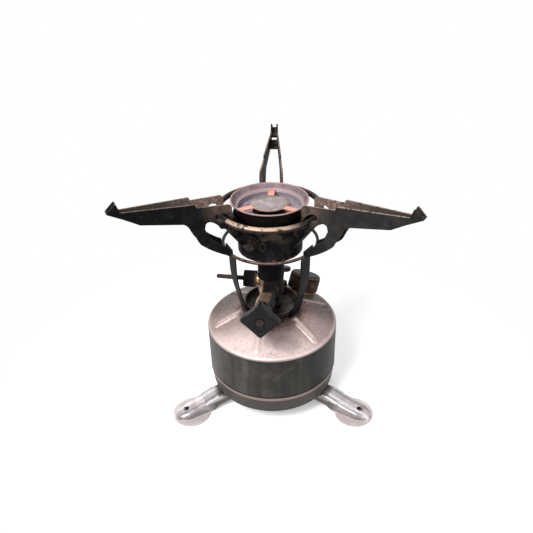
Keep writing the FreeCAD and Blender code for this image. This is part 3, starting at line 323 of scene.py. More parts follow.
    def mix(self, factor: "Number", first: object, second: object) -> Wire:
        """Blends two colours: a factor of 0 gives the first, 1 the second."""
        return self.node("ShaderNodeMix", {"data_type": "RGBA"},
                         {0: factor, 6: first, 7: second}, 2)

    def worn_edges(self, width: float) -> Wire:
        """A mask of the piece's edges and corners.

        Args:
            width: how far it reaches in from an edge, in millimetres.

        Returns:
            0 on open faces, up to 1 on edges.
        """
        rounded = self.node("ShaderNodeBevel", {"samples": 6}, {"Radius": width * MILLIMETRE})
        plain = self.node("ShaderNodeNewGeometry", output="Normal")
        along = self.node("ShaderNodeVectorMath", {"operation": "DOT_PRODUCT"},
                          {0: rounded, 1: plain}, "Value")
        return along.rise(0.995, 0.86)

    def finish(self, colour: object, roughness: "Number", metallic: "Number", height: Wire,
               depth: float = 0.1, soften: float = 0.0, gloss: float = 0.5) -> bpy.types.Material:
        """Joins everything into one surface shader.

        Args:
            colour: base colour.
            roughness: 0 for a mirror, 1 for chalk.
            metallic: 1 for bare metal.
            height: relief, from 0 to 1.
            depth: how deep the relief is, in millimetres.
            soften: radius that rounds the look of sharp edges, in millimetres.
            gloss: the shader's specular level, lower under soot.

        Returns:
            The finished material.
        """
        relief: dict[int | str, object] = {
            "Height": height, "Strength": 1.0, "Distance": depth * MILLIMETRE}
        if soften:
            relief["Normal"] = self.node("ShaderNodeBevel", {"samples": 4},
                                         {"Radius": soften * MILLIMETRE})
        self.end(self.node("ShaderNodeBsdfPrincipled", None, {
            "Base Color": colour, "Roughness": roughness, "Metallic": metallic,
            "Specular IOR Level": gloss, "Normal": self.node("ShaderNodeBump", None, relief)}))
        return self.owner

    def end(self, surface: Wire, kind: str = "ShaderNodeOutputMaterial") -> None:
        """Feeds the surface to the tree's output, a node of the given kind."""
        last = self.tree.nodes.new(kind)
        self.tree.links.new(surface.socket, last.inputs["Surface"])


# ---------------------------------------------------------------- finishes

@dataclass(frozen=True)
class TankFinish:
    """Dull drawn steel: pinkish cone, dark streaked wall, painted light and shade, soot and rust
    round the burner.
    """

    name: str = "tank_steel"
    cone: Colour = (0.70, 0.56, 0.535)
    cone_mid: Colour = (0.315, 0.235, 0.220)
    cone_shade: Colour = (0.066, 0.052, 0.048)
    wall: Colour = (0.041, 0.037, 0.033)
    wall_dark: Colour = (0.019, 0.0185, 0.017)
    # painted light on the wall's left side, also the colour of scuffs
    wall_lit_and_scuffed: Colour = (0.115, 0.106, 0.100)
    wall_stain: Colour = (0.078, 0.066, 0.058)
    wall_right_shade: Colour = (0.012, 0.0135, 0.0125)
    band: Colour = (0.058, 0.048, 0.044)
    bead: Colour = (0.25, 0.185, 0.165)
    soot: Colour = (0.018, 0.014, 0.013)
    scorch: Colour = (0.155, 0.060, 0.034)
    # colour of the painted highlight along the ribs
    rib_highlight: Colour = (0.70, 0.56, 0.51)
    shoulder: float = 70.3
    rib_turn: float = 136.3
    rib_pitch: float = 60.0

    def build(self) -> bpy.types.Material:
        """Makes the material.

        Returns:
            The finished material.
        """
        paint = Paint(self.name)
        height, reach = paint.axis(2), paint.reach()
        clouds = paint.noise(24.0, seed=1.0)
        blotch = paint.noise(7.0, 6.0, seed=2.0)
        fine = paint.noise(1.1, 3.0, seed=4.0)
        up = (height - self.shoulder).rise(-0.4, 0.9)
        sooty = (reach + (blotch - 0.5) * 18.0).rise(32.0, 24.0)
        colour = paint.mix(up, self.wall_colour(paint, clouds), self.cone_colour(
            paint, clouds, blotch, sooty))
        rim = (height - self.shoulder).band(-1.6, -0.3, 0.6, 1.9)
        colour = colour.coats((rim * 0.45, self.cone))
        rings = paint.noise(1.6, 3.0, Stretch.LEVEL, seed=5.0)
        roughness = (0.44 + (1.0 - up) * 0.06 + (clouds - 0.5) * 0.25 + sooty * up * 0.25
                     + fine * 0.08)
        relief = fine * 0.35 + rings * 0.25 + blotch * 0.45
        metallic = 0.30 + up * 0.25 - sooty * up * 0.3
        return paint.finish(colour, roughness, metallic, relief, 0.09, gloss=0.20)

    def cone_colour(self, paint: Paint, clouds: Wire, blotch: Wire, sooty: Wire) -> Wire:
        """Painted light pale towards the front edge, painted shade at the back, smoked round the
        cup.

        Args:
            paint: the material.
            clouds: wide noise.
            blotch: middling noise.
            sooty: the mask of soot round the burner.

        Returns:
            The cone's colour.
        """
        across, deep, reach = paint.axis(0), paint.axis(1), paint.reach()
        front = deep + across * 0.12 + (clouds - 0.5) * 16.0
        # painted light: the cone pales towards its front edge
        cone = paint.mix(front.rise(-20.0, -42.0), self.cone_mid, self.cone)
        stain = (reach + (clouds - 0.5) * 18.0).rise(35.0, 25.0)
        side = across.rise(-18.0, 16.0)
        # painted shadow of the knob, on the cone below the valve
        knob_shadow = (((across - 12.0) / 13.0) ** 2.0 + ((deep + 40.0) / 9.0) ** 2.0
                       + (blotch - 0.5) * 1.2)
        mottle = paint.noise(2.4, seed=9.0)
        groups = paint.noise(14.0, 4.0, seed=6.0)
        specks = paint.cells(2.6, 1.0).rise(0.20, 0.11) * groups.rise(0.46, 0.60)
        pits = paint.cells(1.3, 5.0).rise(0.26, 0.12) * groups.rise(0.40, 0.60)
        return cone.coats(
            # painted shade darkens the back of the cone
            (front.rise(-17.0, 9.0) * 0.95, self.cone_shade),
            (blotch.rise(0.54, 0.76) * 0.30, self.cone_mid),
            (stain * (side * 0.6 + 0.25), self.scorch),
            (sooty * 0.85, self.soot),
            (knob_shadow.rise(1.0, 0.15) * 0.42, self.cone_shade),
            # painted highlight along the ribs, fainter at the back
            (self.ribs(paint) * (0.35 + front.rise(0.0, -24.0) * 0.35), self.rib_highlight),
            (mottle.rise(0.46, 0.66) * 0.32, self.cone_mid),
            (mottle.rise(0.50, 0.34) * 0.20, self.rib_highlight),
            (pits * 0.4, self.cone_shade),
            (specks * 0.8, self.soot))

    def ribs(self, paint: Paint) -> Wire:
        """Finds the raised ribs, where a highlight is painted.

        Args:
            paint: the material.

        Returns:
            The mask of the ribs.
        """
        reach = paint.reach()
        aside = reach * paint.wrapped_azimuth(math.radians(self.rib_turn),
                                              math.radians(self.rib_pitch))
        return aside.band(-2.4, -0.8, 0.8, 2.4) * reach.band(25.5, 28.0, 44.0, 49.0)

    def wall_colour(self, paint: Paint, clouds: Wire) -> Wire:
        """Dark drawn wall with upright streaks, painted light on its left, painted shade on its
        right, a bright bead and a browner band below it.

        Args:
            paint: the material.
            clouds: wide noise.

        Returns:
            The wall's colour.
        """
        across, height = paint.axis(0), paint.axis(2)
        streaks = paint.noise(9.0, stretch=Stretch.UPRIGHT, seed=3.0)
        broad = paint.noise(20.0, 3.0, Stretch.UPRIGHT, seed=8.0)
        drawn = paint.mix(streaks.rise(0.34, 0.66), self.wall_dark, self.wall)
        stains = paint.noise(11.0, 6.0, seed=10.0)
        scuffs = paint.noise(2.6, 4.0, Stretch.LEVEL, seed=7.0).rise(0.66, 0.74)
        band = (height + (streaks - 0.5) * 3.0).rise(28.0, 26.5)
        bead = height.band(27.4, 28.4, 30.1, 30.7)
        return drawn.coats(
            # painted light: the wall's left side lighter
            (broad.rise(0.50, 0.74) * across.rise(24.0, -22.0) * 0.75, self.wall_lit_and_scuffed),
            (across.rise(-26.0, -52.0) * 0.5, self.wall_lit_and_scuffed),
            (clouds.rise(0.55, 0.72) * 0.35, self.wall_dark),
            (stains.rise(0.50, 0.70) * 0.45, self.wall_stain),
            (height.rise(65.5, 69.5) * 0.7, self.wall_dark),
            # painted shade on the wall's right side
            (across.rise(18.0, 40.0) * 0.8, self.wall_right_shade),
            (scuffs * height.rise(58.0, 66.0) * 0.7, self.wall_lit_and_scuffed),
            (band, self.band),
            (height.rise(19.0, 14.0) * 0.5, self.wall_dark),
            (bead * 0.9, self.bead),
            (height.band(30.2, 30.7, 31.2, 32.6) * 0.95, self.soot))


@dataclass(frozen=True)
class BrightSteelFinish:
    """Bright pressed steel in rosy and lilac tones: a painted highlight streak and painted shade
    along each leg, scratches and dents.
    """

    name: str = "leg_steel"
    base: Colour = (0.56, 0.52, 0.53)
    shade: Colour = (0.175, 0.155, 0.158)
    rosy: Colour = (0.42, 0.26, 0.235)
    foot: Colour = (0.60, 0.545, 0.53)
    # painted shade under the tank's edge, also the colour of dirt specks
    dirt_and_shade: Colour = (0.12, 0.105, 0.09)
    shadow: Colour = (0.058, 0.060, 0.052)
    # colour of the painted highlight streak
    highlight_streak: Colour = (0.80, 0.77, 0.79)

    def build(self) -> bpy.types.Material:
        """Makes the material.

        Returns:
            The finished material.
        """
        paint = Paint(self.name)
        clouds = paint.noise(9.0, seed=11.0)
        fine = paint.noise(0.8, 3.0, seed=12.0)
        across, height, reach = paint.across_leg(), paint.axis(2), paint.reach()
        wander = across + (clouds - 0.5) * 3.0
        colour = paint.mix(clouds.rise(0.30, 0.62) * 0.65 + 0.35, self.shade, self.base)
        # painted shade along one fold of each leg, painted highlight streak along the other side
        # of its top
        fold_shade = wander.band(2.2, 3.6, 4.2, 5.6)
        bright = wander.band(-5.4, -3.8, -2.4, -0.6)
        # painted shade on the leg's flanks, and a darker painted shadow where they meet the tank
        side = height.rise(10.6, 8.6) * across.size().rise(5.5, 7.4)
        tint = paint.noise(12.0, 3.0, seed=15.0)
        foot = height.rise(1.8, 1.2)
        scratch = paint.noise(0.9, 3.0, Stretch.SIDEWAYS, seed=13.0, turn=30.0).rise(0.6, 0.72)
        groups = paint.noise(8.0, 4.0, seed=14.0)
        specks = paint.cells(2.6, 3.0).rise(0.16, 0.08) * groups.rise(0.5, 0.6)
        colour = colour.coats(
            (fold_shade * 0.75, self.shade),
            (bright * 0.8, self.highlight_streak),
            (side * 0.6, self.shade),
            (side * reach.rise(72.0, 60.0) * 0.8, self.shadow),
            (tint.rise(0.55, 0.70) * 0.45, self.rosy),
            (foot * 0.85, self.foot),
            # painted shade under the tank's edge, on the legs' inner ends
            (reach.rise(60.0, 50.0) * 0.8, self.dirt_and_shade),
            (scratch * 0.3, self.shade),
            (specks * 0.6, self.dirt_and_shade))
        roughness = 0.27 + clouds.rise(0.6, 0.4) * 0.16 + scratch * 0.1 + foot * 0.2
        relief = fine * 0.25 + clouds * 0.9 - scratch * 0.2
        return paint.finish(colour, roughness, 0.85 - foot * 0.3, relief, 0.09, soften=0.5)


@dataclass(frozen=True)
class BurntSteelFinish:
    """Blackened steel with rust near the flame, rubbed edges and a painted sheen on the right arm.
    """

    name: str = "black_steel"
    black: Colour = (0.0028, 0.0025, 0.0031)
    grey: Colour = (0.0085, 0.0080, 0.0083)
    green: Colour = (0.030, 0.029, 0.025)
    rust: Colour = (0.090, 0.036, 0.021)
    pale: Colour = (0.42, 0.30, 0.25)
    bared: Colour = (0.16, 0.105, 0.085)
    # painted sheen on the right arm's plates
    worn: Colour = (0.034, 0.033, 0.031)
    umber: Colour = (0.072, 0.054, 0.047)
    inner: float = 36.0
    outer: float = 62.0
    low: float = 172.0

    def build(self) -> bpy.types.Material:
        """Makes the material.

        Returns:
            The finished material.
        """
        paint = Paint(self.name)
        clouds, spots, fine = paint.grains(21.0, 8.0, 2.4, 0.7)
        across, height, reach = paint.axis(0), paint.axis(2), paint.reach()
        colour = paint.mix(clouds.rise(0.46, 0.70), self.black, self.grey)
        near = (reach + (clouds - 0.5) * 24.0).rise(self.outer, self.inner)
        high = (height + (clouds - 0.5) * 14.0).rise(self.low, self.low + 12.0)
        burnt = near * high
        inside = paint.outward().rise(0.2, -0.2) * high
        back = paint.axis(1).rise(-6.0, 4.0) * burnt * across.size().rise(13.0, 24.0)
        pale = burnt * clouds.rise(0.46, 0.62) * spots.rise(0.44, 0.60)
        close = (reach + (clouds - 0.5) * 30.0).rise(84.0, 46.0)
        right = across.rise(20.0, 45.0)
        bare = (self.beyond(paint, "left", -1.0) + self.beyond(paint, "right", 1.0)) * (
            paint.facing(1).rise(-0.2, -0.5) * high)
        ends = (reach + (spots - 0.5) * 14.0).rise(54.0, 41.0) * high
        flecks = paint.cells(4.2, 2.0).rise(0.15, 0.08) * clouds.rise(0.42, 0.6)
        edges = paint.worn_edges(0.40)
        upper = paint.facing(2).rise(0.1, 0.7)
        crest = paint.facing(2).rise(0.80, 0.95) * high * spots.rise(0.36, 0.56)
        colour = colour.coats(
            ((reach + (spots - 0.5) * 12.0).rise(58.0, 48.0) * high * 0.9, self.green),
            (burnt * spots.rise(0.40, 0.64) * 0.6, self.rust),
            (back * 0.65, self.rust),
            (pale * (back * 0.8 + 0.08), self.pale),
            (inside * back * spots.rise(0.45, 0.6) * 0.25, self.pale),
            # painted sheen: the right arm's plates lighter grey
            (right * (clouds.rise(0.20, 0.75) * 0.6 + 0.2), self.worn),
            (bare * 0.9, self.umber),
            (bare * close * 0.80, paint.mix(spots.rise(0.40, 0.64), self.bared, self.pale)),
            (ends * clouds.rise(0.36, 0.58) * 0.55, self.bared),
            (flecks * 0.7, self.rust),
            (edges * (0.05 + high * 0.14 + upper * high * near * 0.5), self.pale),
            (crest * (0.35 + right * 0.60), self.pale))
        roughness = 0.58 + (clouds - 0.5) * 0.3 + burnt * 0.15 - edges * 0.12
        return paint.finish(colour, roughness, 0.10, fine * 0.25 + spots * 0.45, gloss=0.07)

    def beyond(self, paint: Paint, side: str, sign: float) -> Wire:
        """Mask of an arm's half beyond its middle; sign is 1 where azimuths are greater there."""
        along, aside = paint.spoke(SIDES[side] + FRAME_TURN)
        return (aside * sign).rise(1.0, 3.0) * along.rise(12.0, 20.0)


@dataclass(frozen=True)
class RingFinish:
    """Round rod: a painted straw highlight on the front top, painted shade underneath, at the back
    and under the arms, brown and black elsewhere.
    """

    name: str = "ring_steel"
    straw_highlight: Colour = (0.50, 0.365, 0.275)
    brown: Colour = (0.085, 0.048, 0.037)
    rosy: Colour = (0.24, 0.155, 0.145)
    black: Colour = (0.0060, 0.0055, 0.0055)

    def build(self) -> bpy.types.Material:
        """Makes the material.

        Returns:
            The finished material.
        """
        paint = Paint(self.name)
        clouds, spots, fine = paint.grains(31.0, 11.0, 2.2, 0.6)
        front = paint.axis(1) + paint.axis(0) * 0.45 + (clouds - 0.5) * 14.0
        upper = paint.axis(2).rise(158.0, 162.0)
        colour = paint.mix(spots.rise(0.40, 0.62), self.brown, self.rosy)
        # painted shade at the back of the upper ring, past the highlight
        ends = front.rise(-34.0, -18.0) * upper
        patches = (spots * 0.6 + clouds * 0.4).rise(0.51, 0.57)
        # the lower ring darker towards the back
        lower_back = (1.0 - upper) * paint.axis(1).rise(-30.0, -12.0)
        # painted shade where the ring passes under the arms
        shade_under_arms = [paint.spoke(azimuth + FRAME_TURN)[0] / paint.reach()
                      for azimuth in SIDES.values()]
        colour = colour.coats(
            # painted highlight on the upper ring's front top
            (front.rise(-20.0, -36.0) * upper * 0.9, self.straw_highlight),
            ((ends * 0.85).highest(patches * 0.9), self.black),
            # painted shade on the ring's underside
            (paint.facing(2).rise(0.55, 0.05) * 0.95, self.black),
            (lower_back * 0.85, self.black),
            *((beside.rise(0.968, 0.978) * 0.95, self.black) for beside in shade_under_arms))
        roughness = 0.42 + spots * 0.3
        return paint.finish(colour, roughness, 0.4, fine * 0.4 + spots * 0.6, 0.14, gloss=0.16)


@dataclass(frozen=True)
class SootFinish:
    """Steel under soot, with rusty rubs low down and dusty patches under the ring."""

    name: str = "sooty_steel"
    soot: Colour = (0.0036, 0.0032, 0.0040)
    ash: Colour = (0.015, 0.014, 0.0155)
    rust: Colour = (0.20, 0.072, 0.042)
    dust: Colour = (0.075, 0.060, 0.038)
    rub: Colour = (0.22, 0.15, 0.12)

    def build(self) -> bpy.types.Material:
        """Makes the material.

        Returns:
            The finished material.
        """
        paint = Paint(self.name)
        clouds, spots, fine = paint.grains(41.0, 10.0, 2.2, 0.6)
        height = paint.axis(2)
        colour = paint.mix(clouds.rise(0.44, 0.70), self.soot, self.ash)
        dusty = height.band(154.0, 160.0, 164.0, 169.0) * clouds.rise(0.48, 0.62)
        flecks = paint.cells(3.8, 4.0).rise(0.15, 0.07) * clouds.rise(0.40, 0.55)
        skirt = paint.reach().rise(20.0, 22.0)
        low = height.rise(143.5, 140.5) * spots.rise(0.54, 0.64)
        edges = paint.worn_edges(0.4)
        colour = colour.coats(
            (dusty * 0.6, self.dust),
            ((flecks * 0.5).highest(low * 0.9) * skirt, self.rust),
            (edges * 0.18, self.rub))
        roughness = 0.63 + (clouds - 0.5) * 0.3
        return paint.finish(colour, roughness, 0.05, fine * 0.4 + spots * 0.5, gloss=0.06)


@dataclass(frozen=True)
class BowlFinish:
    """Heat-tinted bowl: mauve grey inside with painted shade on its left and under the cap disc,
    rosy rim, scorched black outside.
    """

    name: str = "bowl_steel"
    inside: Colour = (0.140, 0.106, 0.114)
    pale: Colour = (0.245, 0.195, 0.210)
    ledge: Colour = (0.36, 0.31, 0.345)
    rim: Colour = (0.40, 0.25, 0.22)
    outside: Colour = (0.0030, 0.0019, 0.0018)
    # rust spots outside, also the painted shade inside on the left
    rust: Colour = (0.026, 0.009, 0.006)
    # colour of the painted shade under the cap disc
    gap_shade: Colour = (0.018, 0.018, 0.026)

    def build(self) -> bpy.types.Material:
        """Makes the material.

        Returns:
            The finished material.
        """
        paint = Paint(self.name)
        clouds, spots, fine = paint.grains(51.0, 9.0, 1.8, 0.6)
        reach, height = paint.reach(), paint.axis(2)
        colour = paint.mix(clouds.rise(0.38, 0.64), self.inside, self.pale)
        ledge = reach.band(23.2, 23.9, 25.3, 26.2)
        # painted shade on the left front of the bowl's inside
        left_shade = paint.axis(0).rise(-16.0, -29.0) * paint.axis(1).rise(2.0, -10.0)
        plate = reach.rise(24.6, 23.6) * height.rise(174.5, 172.5)
        # painted shade on the plate's front, in the gap under the cap disc
        gap_shade = (paint.axis(1) + (clouds - 0.5) * 6.0).rise(-7.0, -11.5)
        outer = paint.outward().rise(0.25, 0.5) * height.rise(181.3, 180.6)
        shell = paint.mix(spots.rise(0.56, 0.70), self.outside, self.rust)
        lip = height.rise(180.8, 181.3)
        colour = colour.coats(
            (spots.rise(0.5, 0.68) * 0.45, self.inside),
            (ledge * 0.75, self.ledge),
            (reach.band(24.6, 25.4, 25.8, 26.4) * 0.5, self.rim),
            (left_shade * 0.5, self.rust),
            (plate, paint.mix(spots.rise(0.42, 0.62), self.ledge, self.pale)),
            (plate * gap_shade * 0.92, self.gap_shade),
            (outer, shell),
            (lip * 0.85, self.rim))
        roughness = 0.60 + (clouds - 0.5) * 0.25 + outer * 0.1
        return paint.finish(colour, roughness, 0.25 - outer * 0.2, fine * 0.4 + spots * 0.4, 0.08,
                            gloss=0.07)


@dataclass(frozen=True)
class CapDiscFinish:
    """Burner cap: grey-brown disc on three salmon tabs."""

    name: str = "cap_steel"
    disc: Colour = (0.205, 0.162, 0.155)
    disc_light: Colour = (0.315, 0.265, 0.270)
    dark: Colour = (0.075, 0.055, 0.052)
    tab: Colour = (0.66, 0.29, 0.225)
    tab_shade: Colour = (0.52, 0.20, 0.145)
    edge: Colour = (0.45, 0.24, 0.18)

    def build(self) -> bpy.types.Material:
        """Makes the material.

        Returns:
            The finished material.
        """
        paint = Paint(self.name)
        clouds, spots = paint.grains(61.0, 6.0, 1.6)
        reach = paint.reach()
        colour = paint.mix(clouds.rise(0.42, 0.62), self.disc, self.disc_light)
        smudge = paint.noise(4.5, 6.0, Stretch.SIDEWAYS, seed=63.0, turn=20.0)
        tab = paint.mix(spots.rise(0.45, 0.65), self.tab, self.tab_shade)
        edge = reach.band(12.4, 13.2, 13.6, 14.1)
        colour = colour.coats(
            (smudge.rise(0.52, 0.62) * 0.75, self.dark),
            (spots.rise(0.60, 0.70) * 0.45, self.dark),
            (reach.rise(13.7, 14.1), tab),
            (edge * 0.5, self.edge))
        relief = spots * 0.8 + clouds * 0.5
        return paint.finish(colour, 0.55 + (clouds - 0.5) * 0.2, 0.35, relief, 0.22, soften=0.3)


@dataclass(frozen=True)
class CupFinish:
    """Priming cup, smoked and stained by fuel."""

    name: str = "cup_steel"
    dark: Colour = (0.007, 0.0055, 0.005)
    brown: Colour = (0.030, 0.017, 0.013)
    pale: Colour = (0.105, 0.076, 0.066)

    def build(self) -> bpy.types.Material:
        """Makes the material.

        Returns:
            The finished material.
        """
        paint = Paint(self.name)
        clouds, spots = paint.grains(71.0, 7.0, 2.0)
        colour = paint.mix(clouds.rise(0.42, 0.62), self.dark, self.brown)
        right = paint.axis(0).rise(2.0, 16.0)
        lip = paint.axis(2).rise(88.8, 89.5)
        colour = colour.coats(
            (spots.rise(0.55, 0.7) * 0.5, self.pale),
            (right * clouds.rise(0.40, 0.62) * 0.5, self.pale),
            (lip * (right * 0.6 + 0.15), self.pale))
        return paint.finish(colour, 0.55 + (spots - 0.5) * 0.3, 0.2, spots, 0.10, gloss=0.12)


@dataclass(frozen=True)
class BrassFinish:
    """Brass under a varying layer of soot and tarnish."""

    name: str
    grime: float
    rubbed: bool = False
    brass: Colour = (0.36, 0.225, 0.085)
    tarnish: Colour = (0.075, 0.040, 0.022)
    bare: Colour = (0.52, 0.35, 0.235)
    soot: Colour = (0.0085, 0.0070, 0.0075)

    def build(self) -> bpy.types.Material:
        """Makes the material.

        Returns:
            The finished material.
        """
        paint = Paint(self.name)
        clouds, spots = paint.grains(81.0 + self.grime, 7.0, 1.6)
        fine = paint.noise(0.5, 3.0, seed=83.0)
        colour = paint.mix(clouds.rise(0.34, 0.60), self.brass, self.tarnish)
        cover = (clouds * 0.6 + spots * 0.4 + (self.grime - 0.5) * 0.6).rise(0.42, 0.58)
        layers = []
        if self.rubbed:
            rubs = self.rubs(paint)
            cover = (cover * (1.0 - rubs)).highest(self.nut(paint))
            layers.append((rubs * 0.75, self.bare))
        edges = paint.worn_edges(0.35) * (1.0 - self.grime)
        colour = colour.coats((cover, self.soot), *layers, (edges * 0.6, self.brass))
        roughness = 0.34 + cover * 0.28 + fine * 0.1
        return paint.finish(colour, roughness, 0.9 - cover * 0.5, fine * 0.3 + spots * 0.4, 0.08,
                            soften=0.35, gloss=0.22)

    def nut(self, paint: Paint) -> Wire:
        """Mask of the cleaner's nut, which is black all over."""
        return paint.spoke(VALVE_TURN)[0].rise(-12.6, -13.4)

    def rubs(self, paint: Paint) -> Wire:
        """Bare brass on top of the bonnet's front and on the cleaner's neck.

        Args:
            paint: the material.

        Returns:
            The mask of the bare places.
        """
        aside, behind = paint.spoke(VALVE_TURN)
        patchy = paint.noise(3.2, 4.0, seed=84.0)
        top = (behind.band(-34.0, -31.5, -22.5, -20.5) * aside.band(-5.5, -3.0, 2.4, 5.0)
               * (paint.axis(2) - VALVE_HEIGHT).rise(1.5, 3.5))
        neck = aside.band(-13.0, -11.4, -5.6, -3.8) * behind.rise(2.0, -1.5)
        return (top + neck).lowest(1.0) * patchy.rise(0.34, 0.50)


@dataclass(frozen=True)
class FillerCapFinish:
    """Filler cap: a painted blue-grey reflection on its top, a painted highlight along its rim,
    red-brown band, brassy side.
    """

    name: str = "cap_brass"
    # painted reflection on the cap's top, dark blue-grey
    top: Colour = (0.0065, 0.0085, 0.0078)
    side: Colour = (0.030, 0.017, 0.010)
    brass: Colour = (0.105, 0.066, 0.030)
    band: Colour = (0.022, 0.010, 0.008)
    top_reflection_light: Colour = (0.018, 0.0165, 0.015)
    # painted highlight along the rim
    rub: Colour = (0.30, 0.21, 0.13)
    rise: float = 76.5

    def build(self) -> bpy.types.Material:
        """Makes the material.

        Returns:
            The finished material.
        """
        paint = Paint(self.name)
        clouds, spots = paint.grains(91.0, 6.0, 1.5)
        lean = math.radians(CONE_ANGLE)
        along = ((paint.spoke(FILLER_TURN)[0] - FILLER_REACH) * math.sin(lean)
                 + (paint.axis(2) - self.rise) * math.cos(lean))
        colour = paint.mix(clouds.rise(0.45, 0.62), self.side, self.brass)
        band = along.band(11.6, 12.6, 13.6, 14.3)
        foot = (along + (spots - 0.5) * 3.0).rise(5.0, 2.6)
        cap = along.rise(14.7, 15.8)
        # painted reflection on the cap's top
        roof_reflection = paint.mix(spots.rise(0.48, 0.66), self.top, self.top_reflection_light)
        # painted highlight along the rim's top edge
        rub = along.band(14.2, 14.8, 15.3, 16.1)
        colour = colour.coats(
            (spots.rise(0.5, 0.66) * 0.7, self.band),
            (band * 0.85, self.band),
            (foot * 0.7, self.band),
            (cap, roof_reflection),
            (rub * spots.rise(0.42, 0.56) * 0.45, self.rub))
        roughness = 0.52 - cap * 0.10 + spots * 0.15
        return paint.finish(colour, roughness, 0.45, spots * 0.6 + clouds * 0.4, 0.10, gloss=0.12)


@dataclass(frozen=True)
class KnobFinish:
    """Knob of black moulded stuff, scuffed grey on its high spots, with painted white glint
    specks.
    """

    name: str = "knob_black"
    black: Colour = (0.0030, 0.0030, 0.0038)
    grey: Colour = (0.0085, 0.0080, 0.0100)
    scuff: Colour = (0.10, 0.095, 0.095)
    glint_speck: Colour = (0.30, 0.29, 0.29)
    ripple: float = 2.1

    def build(self) -> bpy.types.Material:
        """Makes the material.

        Returns:
            The finished material.
        """
        paint = Paint(self.name)
        clouds, spots, fine = paint.grains(101.0, 4.0, 1.3, 0.5)
        colour = paint.mix(clouds.rise(0.50, 0.70), self.black, self.grey)
        # painted glints: small white specks
        glint_specks = paint.noise(0.9, 4.0, seed=104.0).rise(0.68, 0.74)
        colour = colour.coats(
            (spots.rise(0.62, 0.72) * 0.35, self.scuff),
            (glint_specks * 0.6, self.glint_speck))
        relief = spots * 0.7 + clouds * 0.9 + fine * 0.25 + self.rings(paint) * 0.5
        return paint.finish(colour, 0.34 + (clouds - 0.5) * 0.35, 0.0, relief, 0.50, gloss=0.16)

    def rings(self, paint: Paint) -> Wire:
        """Raised rings round the stem's axis.

        Args:
            paint: the material.

        Returns:
            Relief from 0 to 1.
        """
        aside, above = paint.spoke(VALVE_TURN)[0], paint.axis(2) - VALVE_HEIGHT
        spread = (aside * aside + above * above) ** 0.5
        wave = paint.maths("SINE", spread * self.ripple)
        return (wave * 0.5 + 0.5) * spread.band(3.0, 4.2, 11.0, 13.0)


@dataclass(frozen=True)
class RustFinish:
    """Rusty screw steel."""

    name: str = "screw_steel"
    dark: Colour = (0.014, 0.013, 0.0135)
    rust: Colour = (0.050, 0.027, 0.022)
    rub: Colour = (0.26, 0.20, 0.18)

    def build(self) -> bpy.types.Material:
        """Makes the material.

        Returns:
            The finished material.
        """
        paint = Paint(self.name)
        clouds, spots = paint.grains(111.0, 3.0, 1.0)
        colour = paint.mix(clouds.rise(0.42, 0.60), self.dark, self.rust)
        colour = colour.coats((paint.worn_edges(0.25) * 0.35, self.rub))
        return paint.finish(colour, 0.45 + spots * 0.15, 0.6, spots, 0.10, soften=0.2, gloss=0.3)


@dataclass(frozen=True)
class PlainFinish:
    """A simple worn finish for pieces that hardly show."""

    name: str
    base: Colour
    shade: Colour
    roughness: float
    metallic: float = 0.0
    grain: float = 1.5

    def build(self) -> bpy.types.Material:
        """Makes the material.

        Returns:
            The finished material.
        """
        paint = Paint(self.name)
        clouds = paint.noise(self.grain * 4.0, seed=121.0)
        fine = paint.noise(self.grain, 4.0, seed=122.0)
        colour = paint.mix(clouds.rise(0.4, 0.65), self.base, self.shade)
        return paint.finish(colour, self.roughness + (fine - 0.5) * 0.2, self.metallic, fine, 0.08)


FINISHES = {finish.name: finish for finish in (
    TankFinish(), BrightSteelFinish(), BurntSteelFinish(), RingFinish(), SootFinish(),
    BowlFinish(), CapDiscFinish(), CupFinish(), FillerCapFinish(), KnobFinish(), RustFinish(),
    BrassFinish("valve_brass", grime=0.74, rubbed=True),
    BrassFinish("inner_brass", grime=0.25),
    PlainFinish("gasket_rubber", (0.03, 0.03, 0.03), (0.06, 0.055, 0.05), 0.7),
    PlainFinish("packing", (0.07, 0.07, 0.07), (0.12, 0.12, 0.11), 0.75, grain=0.6),
    PlainFinish("pump_leather", (0.16, 0.08, 0.04), (0.24, 0.13, 0.07), 0.55))}


# ---------------------------------------------------------------- stage

